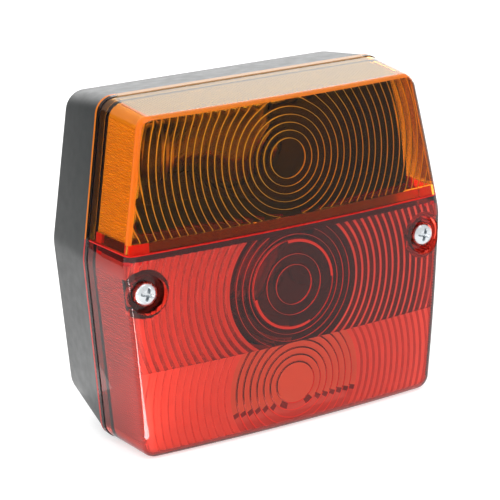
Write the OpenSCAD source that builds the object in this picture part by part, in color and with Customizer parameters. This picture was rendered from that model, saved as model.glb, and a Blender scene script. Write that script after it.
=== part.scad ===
// Rear combination lamp for a trailer: a black moulded base, a two-colour moulded lens with
// Fresnel rings, and three bulbs on sheet metal holders.
// X runs across the lamp, Y towards the vehicle, Z up. The origin lies on the rear face,
// midway between the two mounting studs.

/* [Depths] */
// Depth of the black base, from the rear face to the joint with the lens
base_depth = 22; // [18:0.5:30]
// Depth of the lens, from the joint to the middle of its face
lens_depth = 26; // [22:0.5:32]
// Radius of the slightly domed lens face
crown_r = 550; // [400:10:900]

/* [Lens face outline] */
// Half width of the face at its top corners
face_top_x = 44.5; // [42:0.1:47]
// Height of the face's top edge above the lens screws
face_top_z = 48.2; // [47:0.1:49.5]
// Half width of the face at its widest corners
face_mid_x = 52.2; // [51.4:0.1:53]
// Height of the widest corners of the face
face_mid_z = 6.4; // [5:0.1:8]
// Half width of the face at its bottom corners
face_bottom_x = 48.2; // [46:0.1:50]
// Depth of the face's bottom edge below the lens screws
face_bottom_z = 48.2; // [47:0.1:50]
// Radius of the face's top and bottom corners
face_corner_r = 4; // [3.5:0.1:6]
// Radius of the rounded edge round the face
face_edge_r = 2.5; // [1.5:0.1:3]

/* [Joint outline] */
// Half width of the joint plane at its top corners
rim_top_x = 45.8; // [44:0.1:47]
// Height of the joint plane's top edge
rim_top_z = 50.5; // [49.5:0.1:52]
// Half width of the joint plane at its widest corners
rim_mid_x = 53; // [52.4:0.1:54]
// Height of the widest corners of the joint plane
rim_mid_z = 6; // [5:0.1:8]
// Half width of the joint plane at its bottom corners
rim_bottom_x = 50.5; // [49:0.1:51.5]
// Depth of the joint plane's bottom edge
rim_bottom_z = 47.5; // [46:0.1:49]
// Radius of the joint plane's top and bottom corners
rim_corner_r = 5; // [4:0.1:7]
// Radius of the widest corners, at every depth
mid_corner_r = 14; // [8:0.5:20]

/* [Rear outline] */
// Half width of the rear face at its top corners
back_top_x = 44.8; // [43:0.1:46]
// Height of the rear face's top edge
back_top_z = 48.6; // [47.5:0.1:50]
// Half width of the rear face at its widest corners
back_mid_x = 52.2; // [51:0.1:53]
// Height of the widest corners of the rear face
back_mid_z = 6.8; // [5:0.1:8]
// Half width of the rear face at its bottom corners
back_bottom_x = 49.2; // [47:0.1:50]
// Depth of the rear face's bottom edge: the base's underside rises towards the vehicle
back_bottom_z = 40.5; // [39.5:0.1:44]
// Radius of the rear face's top and bottom corners
back_corner_r = 6; // [5:0.1:8]
// Radius of the edge round the rear face
back_edge_r = 2; // [1:0.1:3]

/* [Walls] */
// Wall of the black base
base_wall = 2.6; // [2.4:0.1:3.2]
// Wall of the lens, sides and face
lens_wall = 2.4; // [2.1:0.1:2.8]
// Thickness of the lens skirt outside the base's tongue
skirt_wall = 1.1; // [0.9:0.1:1.3]
// Clearance between parts that slot together
slip = 0.15; // [0.1:0.05:0.3]
// Height of the tongue that the lens skirt fits over
tongue_h = 3; // [2:0.1:4]
// Height of the rubber seal on the tongue
seal_h = 1; // [0.6:0.1:1.6]
// Width of the bead on the lens edge at the joint
bead_w = 1.9; // [1.2:0.1:2.4]
// How far that bead stands out from the lens wall
bead_out = 0.25; // [0.1:0.05:0.4]
// Height of the plain band between the seal and the ribs
band_h = 0.8; // [0.6:0.1:2]
// Distance from the seal to the web of the lens
web_gap = 1; // [1:0.1:2]
// Distance from the joint to the place where the screw posts meet
post_gap = 2; // [1:0.5:3]

/* [Lens optics] */
// Height of the seam between the amber and the red lens
seam_z = 11.7; // [10:0.1:14]
// Height of the red lip that stands behind the amber wall
lip_h = 2.8; // [2:0.1:4]
// Thickness of the web that parts the amber from the red chamber
web_t = 2; // [1.6:0.1:2.6]
// Depth of the line between the two fields of red rings, below the screws
field_z = 22.9; // [20:0.1:26]
// Pitch of the rings
ring_pitch = 2.18; // [2:0.02:2.6]
// Depth of the rings
ring_h = 0.7; // [0.4:0.05:0.9]
// Height of the centre of the amber rings
amber_ring_z = 30.6; // [28:0.1:33]
// Radius of the plain disc in the middle of the amber rings
amber_disc_r = 5.55; // [4.5:0.05:7]
// Depth of the centre of the upper red rings below the screws
red_ring_z = 5.7; // [3:0.1:8]
// Radius of the plain disc in the middle of the upper red rings
red_disc_r = 5.75; // [4.5:0.05:7]
// Radius inside which the red rings are steps and not ridges
eye_r = 20.8; // [16:0.1:24]
// Depth of the centre of the lower red rings below the screws
low_ring_z = 35.2; // [33:0.1:38]
// Radius of the plain disc in the middle of the lower red rings
low_disc_r = 6; // [4:0.05:7]
// Pitch of the fine ribs on the lens sides
rib_pitch = 1.2; // [1:0.1:2.4]
// Height of those ribs
rib_h = 0.45; // [0.2:0.05:0.6]

/* [Number plate window] */
// Width of the clear window in the lens underside
window_w = 40; // [30:1:46]
// Depth of that window, front to back
window_d = 12; // [9:0.5:13]
// How far the window's flange reaches past its opening
window_lip = 1.2; // [0.8:0.1:1.4]
// Thickness of that flange
window_lip_t = 1; // [0.8:0.1:1.4]

/* [Lens screws] */
// Distance of each lens screw from the middle
screw_x = 45.8; // [45:0.1:46.2]
// Radius of the round recess for the screw head
recess_r = 5.5; // [5:0.1:5.6]
// Depth of that recess
recess_depth = 3; // [2.6:0.1:4]
// Wall round that recess
recess_wall = 1.4; // [1:0.1:2]
// Radius of the screw head
screw_head_r = 3.5; // [3.2:0.1:4.4]
// Height of the screw head
screw_head_h = 2.5; // [2:0.1:2.6]
// Radius of the screw shank
screw_r = 1.95; // [1.6:0.05:2]
// Length of the screw below its head
screw_l = 30; // [26:1:34]
// Length of the screw's point
screw_tip = 3; // [2:0.5:5]
// Length of the cross recess in the head, from end to end
cross_l = 3.8; // [3:0.1:4.4]
// Width of the arms of that cross
cross_w = 0.8; // [0.6:0.1:1]
// Depth of that cross
cross_depth = 1.2; // [1:0.1:1.4]
// Radius of the posts that take the screws
post_r = 3.6; // [3.2:0.1:4]

/* [Mounting] */
// Spacing of the two mounting studs
stud_spacing = 45; // [44:0.5:47]
// Radius of the mounting studs
stud_r = 2.5; // [2:0.25:2.5]
// Length of the studs behind the lamp
stud_out = 16; // [10:1:25]
// Radius of the studs' necks, which fill the holes in the rear wall
stud_neck_r = 3.2; // [3:0.1:3.6]
// Width across the flats of the stud heads
stud_head_af = 8; // [7:0.5:8]
// Height of the stud heads
stud_head_h = 3.2; // [2.5:0.1:3.5]

/* [Cable entry] */
// Distance of the cable entry to the right of the middle
entry_x = 31; // [30:0.5:36]
// Depth of the cable entry below the lens screws
entry_z = 16; // [14:0.5:18]
// Radius of the hole through the grommet
cable_r = 3; // [2:0.1:3.5]
// Radius of the grommet's neck
grommet_r = 5; // [4.5:0.1:5.5]
// How far the grommet's flanges reach past its neck
grommet_lip = 1.5; // [1:0.1:2]
// Thickness of the grommet's flanges: the rear one lies in a recess, flush with the rear face
grommet_t = 1.4; // [1:0.1:1.6]

/* [Bayonet bulbs] */
// Distance from the rear face to the axes of the bulbs
bulb_y = 18; // [17.5:0.1:19]
// Radius of the bayonet bulbs' glass
bulb_r = 12.5; // [11:0.1:12.5]
// Radius of the glass where it enters the cap
neck_r = 6.8; // [6:0.1:7]
// Radius of the bayonet cap
cap_r = 7.6; // [7.2:0.05:7.6]
// Distance from the filament to the bayonet pins
pin_x = 31.8; // [31:0.1:32]
// Radius of the bayonet pins
pin_r = 1; // [0.8:0.05:1.1]
// Length of the cap from its pins to its rear edge
cap_behind = 6.5; // [6:0.1:7]
// Length of the cap from its pins to the glass
cap_ahead = 10; // [9:0.1:11]
// Height of the soldered tip behind the cap
tip_h = 1.2; // [0.8:0.1:1.4]
// Radius of that tip
tip_r = 2.4; // [2:0.1:2.6]
// Length of the holder's sleeve, half of it behind the pins
sleeve_l = 14; // [13:0.5:16]
// Wall of the holder's sleeve
sleeve_t = 0.6; // [0.4:0.05:0.8]
// Thickness of the holders' sheet metal feet
sheet_t = 0.8; // [0.6:0.05:1]
// Width of those feet along the lamp
foot_w = 6; // [5:0.1:6]
// Distance from the sleeve's rear edge to the foot
foot_set = 0.5; // [0.3:0.1:0.8]
// Spacing of the two rivets in each foot
rivet_spacing = 14; // [13:0.5:15]
// Distance from each rivet's middle to the foot's end
rivet_edge = 2; // [2:0.1:2.2]
// How far the bayonet pins stand out of the sleeve
pin_out = 0.4; // [0.2:0.1:0.5]

/* [Contacts and tail bulb] */
// Thickness of the contact strips
strip_t = 0.6; // [0.4:0.05:0.8]
// Width of the contact strips
strip_w = 6; // [5:0.1:6]
// Length of the contacts' feet on the floor
contact_foot = 4.8; // [4.6:0.1:5]
// Width of the earth strip
earth_w = 4; // [3:0.1:4]
// Depth of the tail bulb below the screws
tail_z = 34; // [33:0.1:34]
// Radius of the tail bulb's glass tube
tail_r = 5.2; // [4.5:0.1:5.3]
// Length of the tail bulb between its tips
tail_l = 36; // [34:0.5:38]
// Radius of the tail bulb's caps
tail_cap_r = 3.4; // [3:0.1:3.6]
// Length of those caps
tail_cap_l = 5.5; // [5:0.1:6]
// Length of the straight part of those caps
tail_cap_cyl = 3; // [2.5:0.1:3.4]
// Radius of the tips of those caps
tail_tip_r = 0.8; // [0.6:0.1:1]
// Distance from the tail bulb's tips to its clips
clip_in = 1.5; // [1.2:0.1:2]
// Length of the clips' feet
clip_foot = 7.5; // [7:0.1:8]
// Distance from the end of each clip's foot to its hole
clip_hole_in = 3; // [2.6:0.1:3.2]
// Radius of the rounded ends of the tail bulb's glass
tail_round_r = 2; // [1:0.1:3]
// How far the stop bulb's contact stands below the bulb's axis
contact_shift = 2; // [1.5:0.1:2.5]
// Distance from the stop bulb's axis down to the earth screw
earth_screw_drop = 14; // [13:0.5:15]
// How far the earth strip's cross run stands above its end
earth_rise = 1; // [0.8:0.1:1.4]

/* [Rivets and terminal screws] */
// Radius of the rivets and terminal screws in the floor
fixing_r = 1.2; // [1:0.05:1.4]
// Depth of their holes in the floor
fixing_l = 1.7; // [1.4:0.1:2]
// Radius of the rivet heads
rivet_head_r = 1.9; // [1.7:0.05:2]
// Height of the rivet heads
rivet_head_h = 0.8; // [0.6:0.05:1]
// Radius of the terminal screws' heads
terminal_head_r = 2; // [1.8:0.05:2.1]
// Height of the terminal screws' heads
terminal_head_h = 1.5; // [1.2:0.1:1.8]
// Width of the slots in them
terminal_slot = 0.6; // [0.4:0.05:0.8]

/* [Hidden] */
$fn = 64;
eps = 0.01;
far = 200;

// Depths along Y, from the rear face at 0 to the front of the lens.
depth = base_depth + lens_depth;
crown_cy = crown_r - depth;
floor_y = -base_wall;
tongue_y = -base_depth - tongue_h;
seal_y = tongue_y - seal_h;
rib_y = seal_y - band_h;
web_y = seal_y - web_gap;
post_y = -base_depth - post_gap;
seat_y = dome_y(screw_x, 0, 0) + recess_depth;
side_run = -dome_y(face_mid_x, 0, 0) - face_edge_r - base_depth;

// Outlines of the lens face, the joint and the rear face.
face = six(face_top_x, face_top_z, face_mid_x, face_mid_z, face_bottom_x, face_bottom_z,
           face_corner_r);
rim = six(rim_top_x, rim_top_z, rim_mid_x, rim_mid_z, rim_bottom_x, rim_bottom_z,
          rim_corner_r);
back = six(back_top_x, back_top_z, back_mid_x, back_mid_z, back_bottom_x, back_bottom_z,
           back_corner_r);
arc_steps = 5;
dome_step = 11;
straight = [0, 0, 0, 0, 0, 0];
domed = [for (i = [0:5]) round(side_length(rim, i) / dome_step / 2)];

// Places along X on the bulb axes, and the floor fixings as [x, z].
sleeve_r = cap_r + slip;
sleeve_rear = -pin_x - sleeve_l / 2;
sleeve_front = -pin_x + sleeve_l / 2;
cap_rear = -pin_x - cap_behind;
cap_front = -pin_x + cap_ahead;
tip_x = cap_rear - tip_h;
foot_x = sleeve_rear + foot_set;
terminal_x = tip_x - strip_t - (contact_foot - strip_t) / 2;
clip_x = tail_l / 2 - clip_in;
clip_fix = clip_x + clip_foot - clip_hole_in;
tail_tube = tail_l / 2 - tail_cap_l;
stud_head_r = stud_head_af / 2 / cos(30);
earth_x = foot_x + foot_w;
earth_z = -tail_z + strip_w / 2;
terminal_places = [[terminal_x, amber_ring_z], [terminal_x, -red_ring_z - contact_shift],
                   [-clip_fix, -tail_z], [earth_x + earth_w / 2, -red_ring_z - earth_screw_drop]];
rivet_places = concat([[clip_fix, -tail_z]],
    [for (z = [amber_ring_z, -red_ring_z], s = [-1, 1])
        [foot_x + foot_w / 2, z + s * rivet_spacing / 2]]);

// Corners [x, z, radius], counter-clockwise from the bottom right as seen from the front.
function six(tx, tz, mx, mz, bx, bz, r) =
    [[bx, -bz, r], [mx, mz, mid_corner_r], [tx, tz, r],
     [-tx, tz, r], [-mx, mz, mid_corner_r], [-bx, -bz, r]];
function blend(a, b, t) = a * (1 - t) + b * t;
function flat(p) = [p[0], p[1]];
function side_length(c, i) = norm(flat(c[(i + 1) % 6]) - flat(c[i]));
function side_normal(c, i) =
    let (d = flat(c[(i + 1) % 6]) - flat(c[i])) [d[1], -d[0]] / norm(d);

// Radius of the tail bulb's conical cap at x.
function tail_cone_r(x) =
    let (cone_x = tail_tube + tail_cap_cyl)
    blend(tail_cap_r, tail_tip_r, (x - cone_x) / (tail_l / 2 - cone_x));

// Half width of an outline at height z, above its widest corners.
function half_width(c, z) = blend(c[1][0], c[2][0], (z - c[1][1]) / (c[2][1] - c[1][1]));

// Outline of the lens walls and of the base at depth y.
function wall_at(y) = blend(rim, face, (-base_depth - y) / side_run);
function base_at(y) = blend(back, rim, -y / base_depth);

// Centre of the rounding at corner i, and the points of its arc, moved in by inset.
function corner_centre(c, i) =
    let (a = side_normal(c, (i + 5) % 6), b = side_normal(c, i))
    flat(c[i]) - c[i][2] * (a + b) / (1 + a * b);
function corner_arc(c, i, inset) =
    let (a = side_normal(c, (i + 5) % 6), b = side_normal(c, i),
         from = atan2(a[1], a[0]), turn = acos(a * b), m = corner_centre(c, i))
    [for (k = [0:arc_steps])
        let (w = from + turn * k / arc_steps) m + (c[i][2] - inset) * [cos(w), sin(w)]];

// Number of ribs on each side, for the listed sides. Side 0 is the lower right one, and side
// 5 the underside.
function ribs_on(sides) =
    [for (i = [0:5]) len(search(i, sides)) > 0 ? round(side_length(rim, i) / rib_pitch) : 0];

// Ribs on side i: every second point stands in from the wall by h.
function side_ribs(c, i, inset, n, h) =
    let (s = side_normal(c, i), j = (i + 1) % 6,
         p = corner_centre(c, i) + (c[i][2] - inset) * s,
         q = corner_centre(c, j) + (c[j][2] - inset) * s)
    [for (k = [1:1:2 * n - 1]) blend(p, q, k / (2 * n)) - s * (k % 2) * h];
function outline(c, inset, n = straight, h = 0) =
    [for (i = [0:5]) each concat(corner_arc(c, i, inset), side_ribs(c, i, inset, n[i], h))];

// Sections of a loft: an outline at one depth, or on the domed face sunk by sink.
function at(points, y) = [for (p = points) [p[0], y, p[1]]];
function dome_y(x, z, sink) = crown_cy - sqrt(pow(crown_r - sink, 2) - x * x - z * z);
function on_dome(points, sink, drop = 0) =
    [for (p = points) [p[0], dome_y(p[0], p[1], sink) + drop, p[1]]];

// A closed body through sections that run from the rear to the front. Fans of triangles end
// it, at the middle of its flat rear section and at the point tip.
module loft(sections, tip) {
    n = len(sections[0]);
    m = len(sections);
    rear = [0, sections[0][0][1], 0];
    polyhedron(
        points = concat([for (s = sections) each s], [rear, tip]),
        faces = concat(
            [for (i = [0:n - 1]) [m * n, i, (i + 1) % n]],
            [for (j = [0:m - 2], i = [0:n - 1]) let (k = (i + 1) % n)
                each [[j * n + i, (j + 1) * n + k, j * n + k],
                      [j * n + i, (j + 1) * n + i, (j + 1) * n + k]]],
            [for (i = [0:n - 1]) [m * n + 1, (m - 1) * n + (i + 1) % n, (m - 1) * n + i]]));
}

// A level layer through the whole lamp, from height z0 to z1 and depth y0 to y1.
module layer(z0, z1, y0 = -far, y1 = far) {
    translate([-far, y0, z0]) cube([2 * far, y1 - y0, z1 - z0]);
}

// Placers. Their children stand along Z, which points to the front of the lamp.
module facing(x, y, z) { translate([x, y, z]) rotate([90, 0, 0]) children(); }
module at_screws(y) { for (s = [-1, 1]) facing(s * screw_x, y, 0) children(); }
module at_studs() { for (s = [-1, 1]) facing(s * stud_spacing / 2, 0, 0) children(); }
module at_entry() { facing(entry_x, 0, -entry_z) children(); }
module on_floor(places) { for (p = places) facing(p[0], floor_y, p[1]) children(); }

// The lens body: straight drafted walls, a rounded edge and a domed face, all sunk by inset.
module lens_body(inset = 0) {
    edge = face_edge_r - inset;
    loft(concat([at(outline(rim, inset, domed), -base_depth)],
                [for (w = [0:22.5:90])
                    on_dome(outline(face, inset + edge * (1 - cos(w)), domed), inset,
                            edge * (1 - sin(w)))],
                [for (s = [0.8, 0.55, 0.3])
                    on_dome(outline(face, face_edge_r, domed) * s, inset)]),
         [0, dome_y(0, 0, inset), 0]);
}

// The bead round the lens edge at the joint.
module lens_bead() {
    front = -base_depth - bead_w;
    end = front - bead_out;
    loft([at(outline(rim, -bead_out), -base_depth), at(outline(wall_at(front), -bead_out), front),
          at(outline(wall_at(end), skirt_wall / 2), end)],
         [0, end, 0]);
}

// The space behind the domed face, a little wider than the hollow that it ends.
module behind_dome() {
    side = skirt_wall / 2;
    loft(concat([at(outline(rim, side, domed), 2 - base_depth)],
                [for (s = [1, 0.8, 0.55, 0.3])
                    on_dome(outline(face, side, domed) * s, lens_wall)]),
         [0, dome_y(0, 0, lens_wall), 0]);
}

// The hollow of the lens: a skirt that takes the tongue and seal, a plain band, and walls
// with ribs on the listed sides.
module lens_hollow(ribs) {
    root = lens_wall + eps;
    intersection() {
        union() {
            loft([at(outline(rim, skirt_wall), 1 - base_depth),
                  at(outline(wall_at(seal_y), skirt_wall), seal_y)],
                 [0, seal_y, 0]);
            loft([at(outline(wall_at(seal_y), lens_wall), seal_y + eps),
                  at(outline(wall_at(rib_y), lens_wall), rib_y)],
                 [0, rib_y, 0]);
            loft([at(outline(wall_at(rib_y), root, ribs, rib_h), rib_y + eps),
                  at(outline(wall_at(-depth), root, ribs, rib_h), -depth)],
                 [0, -depth, 0]);
        }
        behind_dome();
    }
}

// Fresnel rings on the inner face, turned about the dome's normal at height z. Inside the
// radius step_r each ring steps in and falls away gently to the next. Outside it the rings
// are even ridges.
module rings(z, disc_r, outer_r, step_r) {
    inner = crown_r - lens_wall;
    root = 0.2;
    base = 0.8;
    radii = [for (r = [disc_r:ring_pitch:outer_r]) r];
    front = [for (i = [0:len(radii) - 2])
        let (a = radii[i], b = radii[i + 1], top = a < step_r ? a : (a + b) / 2)
        each [[top, sqrt(inner * inner - top * top) - ring_h],
              [b, sqrt(inner * inner - b * b) - root]]];
    rear = [for (i = [len(radii) - 1:-1:0])
        [radii[i], sqrt(pow(inner + base, 2) - pow(radii[i], 2))]];
    translate([0, crown_cy, 0]) rotate([90 - asin(z / inner), 0, 0])
        rotate_extrude($fn = 128) polygon(concat(front, rear));
}

// The part of the face inside the ribbed walls, between heights z0 and z1.
module face_field(z0, z1) {
    intersection() {
        facing(0, -base_depth, 0) linear_extrude(lens_depth)
            polygon(outline(face, lens_wall + rib_h + slip));
        layer(z0, z1);
    }
}

module amber_lens() {
    color("darkorange") {
        difference() {
            intersection() {
                union() {
                    lens_body();
                    lens_bead();
                }
                layer(seam_z, far);
            }
            lens_hollow(ribs_on([1, 2, 3]));
            intersection() {
                lens_body(lens_wall / 2);
                layer(seam_z - 1, seam_z + lip_h);
            }
        }
        intersection() {
            rings(amber_ring_z, amber_disc_r, norm([face_mid_x, amber_ring_z - seam_z]), far);
            face_field(seam_z + lip_h + slip, far);
        }
    }
}

module red_lens() {
    half_wall = lens_wall / 2 + slip / 2;
    color("red") difference() {
        union() {
            difference() {
                union() {
                    intersection() {
                        union() {
                            lens_body();
                            lens_bead();
                        }
                        layer(-far, seam_z);
                    }
                    intersection() {
                        lens_body(half_wall);
                        layer(seam_z - 1, seam_z + lip_h - slip / 2, -far, rib_y);
                    }
                }
                lens_hollow(ribs_on([0, 4]));
            }
            intersection() {
                lens_body(half_wall);
                union() {
                    layer(seam_z - web_t, seam_z, -far, web_y);
                    at_screws(seat_y + recess_wall)
                        cylinder(r = recess_r + recess_wall, h = lens_depth);
                }
            }
            intersection() {
                rings(-red_ring_z, red_disc_r, norm([face_mid_x, field_z - red_ring_z]), eye_r);
                face_field(-field_z, seam_z - web_t / 2);
            }
            intersection() {
                rings(-low_ring_z, low_disc_r, norm([face_mid_x, low_ring_z - field_z]), eye_r);
                face_field(-far, -field_z);
            }
            at_screws(post_y - slip) cylinder(r = post_r, h = post_y - slip - seat_y);
        }
        at_screws(seat_y) cylinder(r = recess_r, h = lens_depth);
        at_screws(post_y) cylinder(r = screw_r + slip, h = lens_depth);
        on_underside() translate([0, 0, lens_wall / 2])
            cube([window_w + 2 * slip, window_d + 2 * slip, 2 * lens_wall], center = true);
    }
}

// Places children on the outer wall of the lens underside, which slopes a little.
module on_underside() {
    front_y = -base_depth - side_run;
    mid = (rib_y + front_y) / 2 + ring_h;
    drop = face_bottom_z - rim_bottom_z;
    z = rim_bottom_z + drop * (-base_depth - mid) / side_run;
    translate([0, mid, -z]) rotate([atan2(drop, side_run), 0, 0]) children();
}

// The window fills the wall, and a flange inside keeps it from falling out.
module plate_window() {
    seat = lens_wall + slip / 2;
    color("white") on_underside() {
        translate([-window_w / 2, -window_d / 2, 0]) cube([window_w, window_d, seat + eps]);
        translate([-window_w / 2 - window_lip, -window_d / 2 - window_lip, seat])
            cube([window_w + 2 * window_lip, window_d + 2 * window_lip, window_lip_t]);
    }
}

// The base: its drafted outside with a rounded rear edge, and its hollow.
module base_body() {
    edge = back_edge_r;
    loft(concat([for (w = [0:30:90]) let (y = -edge * (1 - cos(w)))
                     at(outline(base_at(y), edge * (1 - sin(w))), y)],
                [at(outline(rim, 0), -base_depth)]),
         [0, -base_depth, 0]);
}
module base_hollow(front_y) {
    loft([at(outline(base_at(floor_y), base_wall), floor_y),
          at(outline(rim, base_wall), -base_depth),
          at(outline(wall_at(front_y), base_wall), front_y)],
         [0, front_y, 0]);
}

// A body that fills the lens skirt, from depth rear_y to front_y.
module skirt_fill(rear_y, front_y) {
    inset = skirt_wall + slip;
    loft([at(outline(wall_at(rear_y), inset), rear_y),
          at(outline(wall_at(front_y), inset), front_y)],
         [0, front_y, 0]);
}

// The web in the base that parts the chambers, up to the web of the red lens.
module base_web() {
    play = 2 * slip;
    inner = half_width(face, seam_z) - lens_wall - rib_h - play;
    outer = half_width(back, seam_z) - base_wall / 2;
    translate([0, 0, seam_z - web_t]) {
        translate([-outer, -base_depth + play, 0])
            cube([2 * outer, base_depth - base_wall / 2, web_t]);
        translate([-inner, web_y + play, 0]) cube([2 * inner, -web_y - base_wall, web_t]);
    }
}

module base_housing() {
    notch = 2 * strip_t;
    color("#2b2d2d") difference() {
        union() {
            difference() {
                union() {
                    base_body();
                    skirt_fill(1 - base_depth, tongue_y);
                }
                base_hollow(tongue_y - 1);
            }
            at_screws(floor_y + eps) cylinder(r = post_r, h = floor_y - post_y);
            base_web();
        }
        at_screws(seat_y + screw_l + 1) cylinder(r = screw_r + slip / 3, h = depth);
        at_studs() translate([0, 0, -1]) cylinder(r = stud_neck_r + slip, h = base_wall + 2);
        at_entry() {
            translate([0, 0, -1]) cylinder(r = grommet_r, h = base_wall + 2);
            translate([0, 0, -1]) cylinder(r = grommet_r + grommet_lip + slip, h = grommet_t + 1);
        }
        translate([earth_x - slip, floor_y - notch, seam_z - web_t - 1])
            cube([earth_w + 2 * slip, notch, web_t + 2]);
        on_floor(concat(rivet_places, terminal_places)) translate([0, 0, -fixing_l])
            cylinder(r = fixing_r, h = fixing_l + 1);
    }
}

module lens_seal() {
    color("#1c1c1c") difference() {
        skirt_fill(tongue_y, seal_y);
        base_hollow(seal_y - 1);
    }
}

// A pan head screw with a cross recess and a pointed shank.
module pan_screw() {
    rim_h = screw_head_h * 0.35;
    crown = [for (w = [0:15:90]) [screw_head_r - screw_head_h * (1 - cos(w)),
                                  rim_h + (screw_head_h - rim_h) * sin(w)]];
    difference() {
        union() {
            rotate_extrude() polygon(concat([[0, 0], [screw_head_r, 0]], crown,
                                            [[0, screw_head_h]]));
            rotate_extrude() polygon([[0, eps], [screw_r, eps], [screw_r, screw_tip - screw_l],
                                      [0, -screw_l]]);
        }
        for (w = [0, 90]) rotate(w)
            translate([-cross_l / 2, -cross_w / 2, screw_head_h - cross_depth])
                cube([cross_l, cross_w, screw_head_h]);
    }
}
module lens_screw(side) { color("silver") facing(side * screw_x, seat_y, 0) pan_screw(); }

module mount_stud(side) {
    color("silver") facing(side * stud_spacing / 2, 0, 0) {
        translate([0, 0, -stud_out]) cylinder(r = stud_r, h = stud_out + eps);
        cylinder(r = stud_neck_r, h = base_wall + eps);
        translate([0, 0, base_wall]) cylinder(r = stud_head_r, h = stud_head_h, $fn = 6);
    }
}

module cable_grommet() {
    flange_r = grommet_r + grommet_lip;
    color("#1c1c1c") at_entry() rotate_extrude()
        polygon([[cable_r, 0], [flange_r, 0], [flange_r, grommet_t], [grommet_r, grommet_t],
                 [grommet_r, base_wall], [flange_r, base_wall],
                 [flange_r, base_wall + grommet_t], [cable_r, base_wall + grommet_t]]);
}

// Along the axis of a bulb at height z: the children's Z runs along X of the lamp.
module on_bulb_axis(z) { translate([0, -bulb_y, z]) rotate([0, 90, 0]) children(); }

// A bayonet holder: a sleeve with two slots for the pins, two webs and a riveted foot.
module holder(z) {
    slot = 2 * pin_r + 2 * slip;
    web = sleeve_r / 2;
    length = sleeve_front - sleeve_rear;
    foot_d = rivet_spacing + 2 * rivet_edge;
    cut = 4 * (sleeve_t + slip);
    color("#b9b5a3") difference() {
        union() {
            on_bulb_axis(z) translate([0, 0, sleeve_rear])
                cylinder(r = sleeve_r + sleeve_t, h = length);
            for (s = [-1, 1]) translate([foot_x, -bulb_y, z + s * web - sheet_t / 2])
                cube([foot_w, bulb_y + floor_y - eps, sheet_t]);
            translate([foot_x, floor_y - sheet_t, z - foot_d / 2]) cube([foot_w, sheet_t, foot_d]);
        }
        on_bulb_axis(z) translate([0, 0, sleeve_rear - 1]) cylinder(r = sleeve_r, h = length + 2);
        for (s = [-1, 1])
            translate([-pin_x - slot / 2, -bulb_y - slot / 2, z + s * sleeve_r - cut / 2])
                cube([sleeve_front + pin_x + slot, slot, cut]);
        on_floor(rivet_places) cylinder(r = fixing_r, h = 2 * sheet_t);
    }
}

// A brass leaf that stands on the floor and presses on the tip of the bulb.
module contact(z) {
    color("#c9a24a") difference() {
        union() {
            translate([tip_x - strip_t, -bulb_y - strip_w / 2, z - strip_w / 2])
                cube([strip_t, bulb_y + strip_w / 2 + floor_y, strip_w]);
            translate([tip_x - contact_foot, floor_y - strip_t, z - strip_w / 2])
                cube([contact_foot, strip_t, strip_w]);
        }
        on_floor(terminal_places) cylinder(r = fixing_r, h = 2 * strip_t);
    }
}

// The bayonet cap: a plain cylinder with two pins and a soldered tip.
module bulb_cap(z) {
    pin_l = sleeve_r + sleeve_t + pin_out;
    color("#c7c2b0") on_bulb_axis(z) {
        translate([0, 0, cap_rear]) cylinder(r = cap_r, h = cap_front - cap_rear);
        translate([0, 0, tip_x + eps]) cylinder(r = tip_r, h = cap_rear - tip_x);
        translate([-pin_l, 0, -pin_x]) rotate([0, 90, 0]) cylinder(r = pin_r, h = 2 * pin_l);
    }
}

// The glass: a ball round the filament, drawn in to a neck.
module bulb_glass(z) {
    start = -52;
    ball = [for (k = [0:10]) let (w = start + (90 - start) * k / 10) bulb_r * [cos(w), sin(w)]];
    color("white") on_bulb_axis(z) rotate_extrude()
        polygon(concat([[0, cap_front], [neck_r, cap_front], [neck_r, cap_front / 2 - neck_r / 2]],
                       ball, [[0, bulb_r]]));
}

module tail_clip(side) {
    color("#c9a24a") difference() {
        union() {
            translate([side * clip_x - strip_t / 2, -bulb_y - strip_w / 2, -tail_z - strip_w / 2])
                cube([strip_t, bulb_y + strip_w / 2 + floor_y, strip_w]);
            translate([side > 0 ? clip_x : -clip_x - clip_foot, floor_y - strip_t,
                       -tail_z - strip_w / 2])
                cube([clip_foot, strip_t, strip_w]);
        }
        on_bulb_axis(-tail_z) translate([0, 0, side * clip_x - 1])
            cylinder(r = tail_cone_r(clip_x - strip_t / 2) + slip / 3, h = 2);
        on_floor([for (s = [-1, 1]) [s * clip_fix, -tail_z]])
            cylinder(r = fixing_r, h = 2 * strip_t);
    }
}

// The tail bulb: a glass tube between two conical caps.
module tail_caps() {
    color("#c7c2b0") for (w = [0, 180]) on_bulb_axis(-tail_z) rotate([w, 0, 0])
        rotate_extrude()
            polygon([[0, tail_tube], [tail_cap_r, tail_tube],
                     [tail_cap_r, tail_tube + tail_cap_cyl],
                     [tail_tip_r, tail_l / 2], [0, tail_l / 2]]);
}
module tail_glass() {
    arc = [for (w = [0:22.5:90]) [tail_r - tail_round_r + tail_round_r * cos(w),
                                  tail_tube - tail_round_r + tail_round_r * sin(w)]];
    half = concat(arc, [[0, tail_tube]]);
    color("white") on_bulb_axis(-tail_z) rotate_extrude()
        polygon(concat([for (p = half) p],
                       [for (i = [len(half) - 1:-1:0]) [half[i][0], -half[i][1]]]));
}

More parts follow.
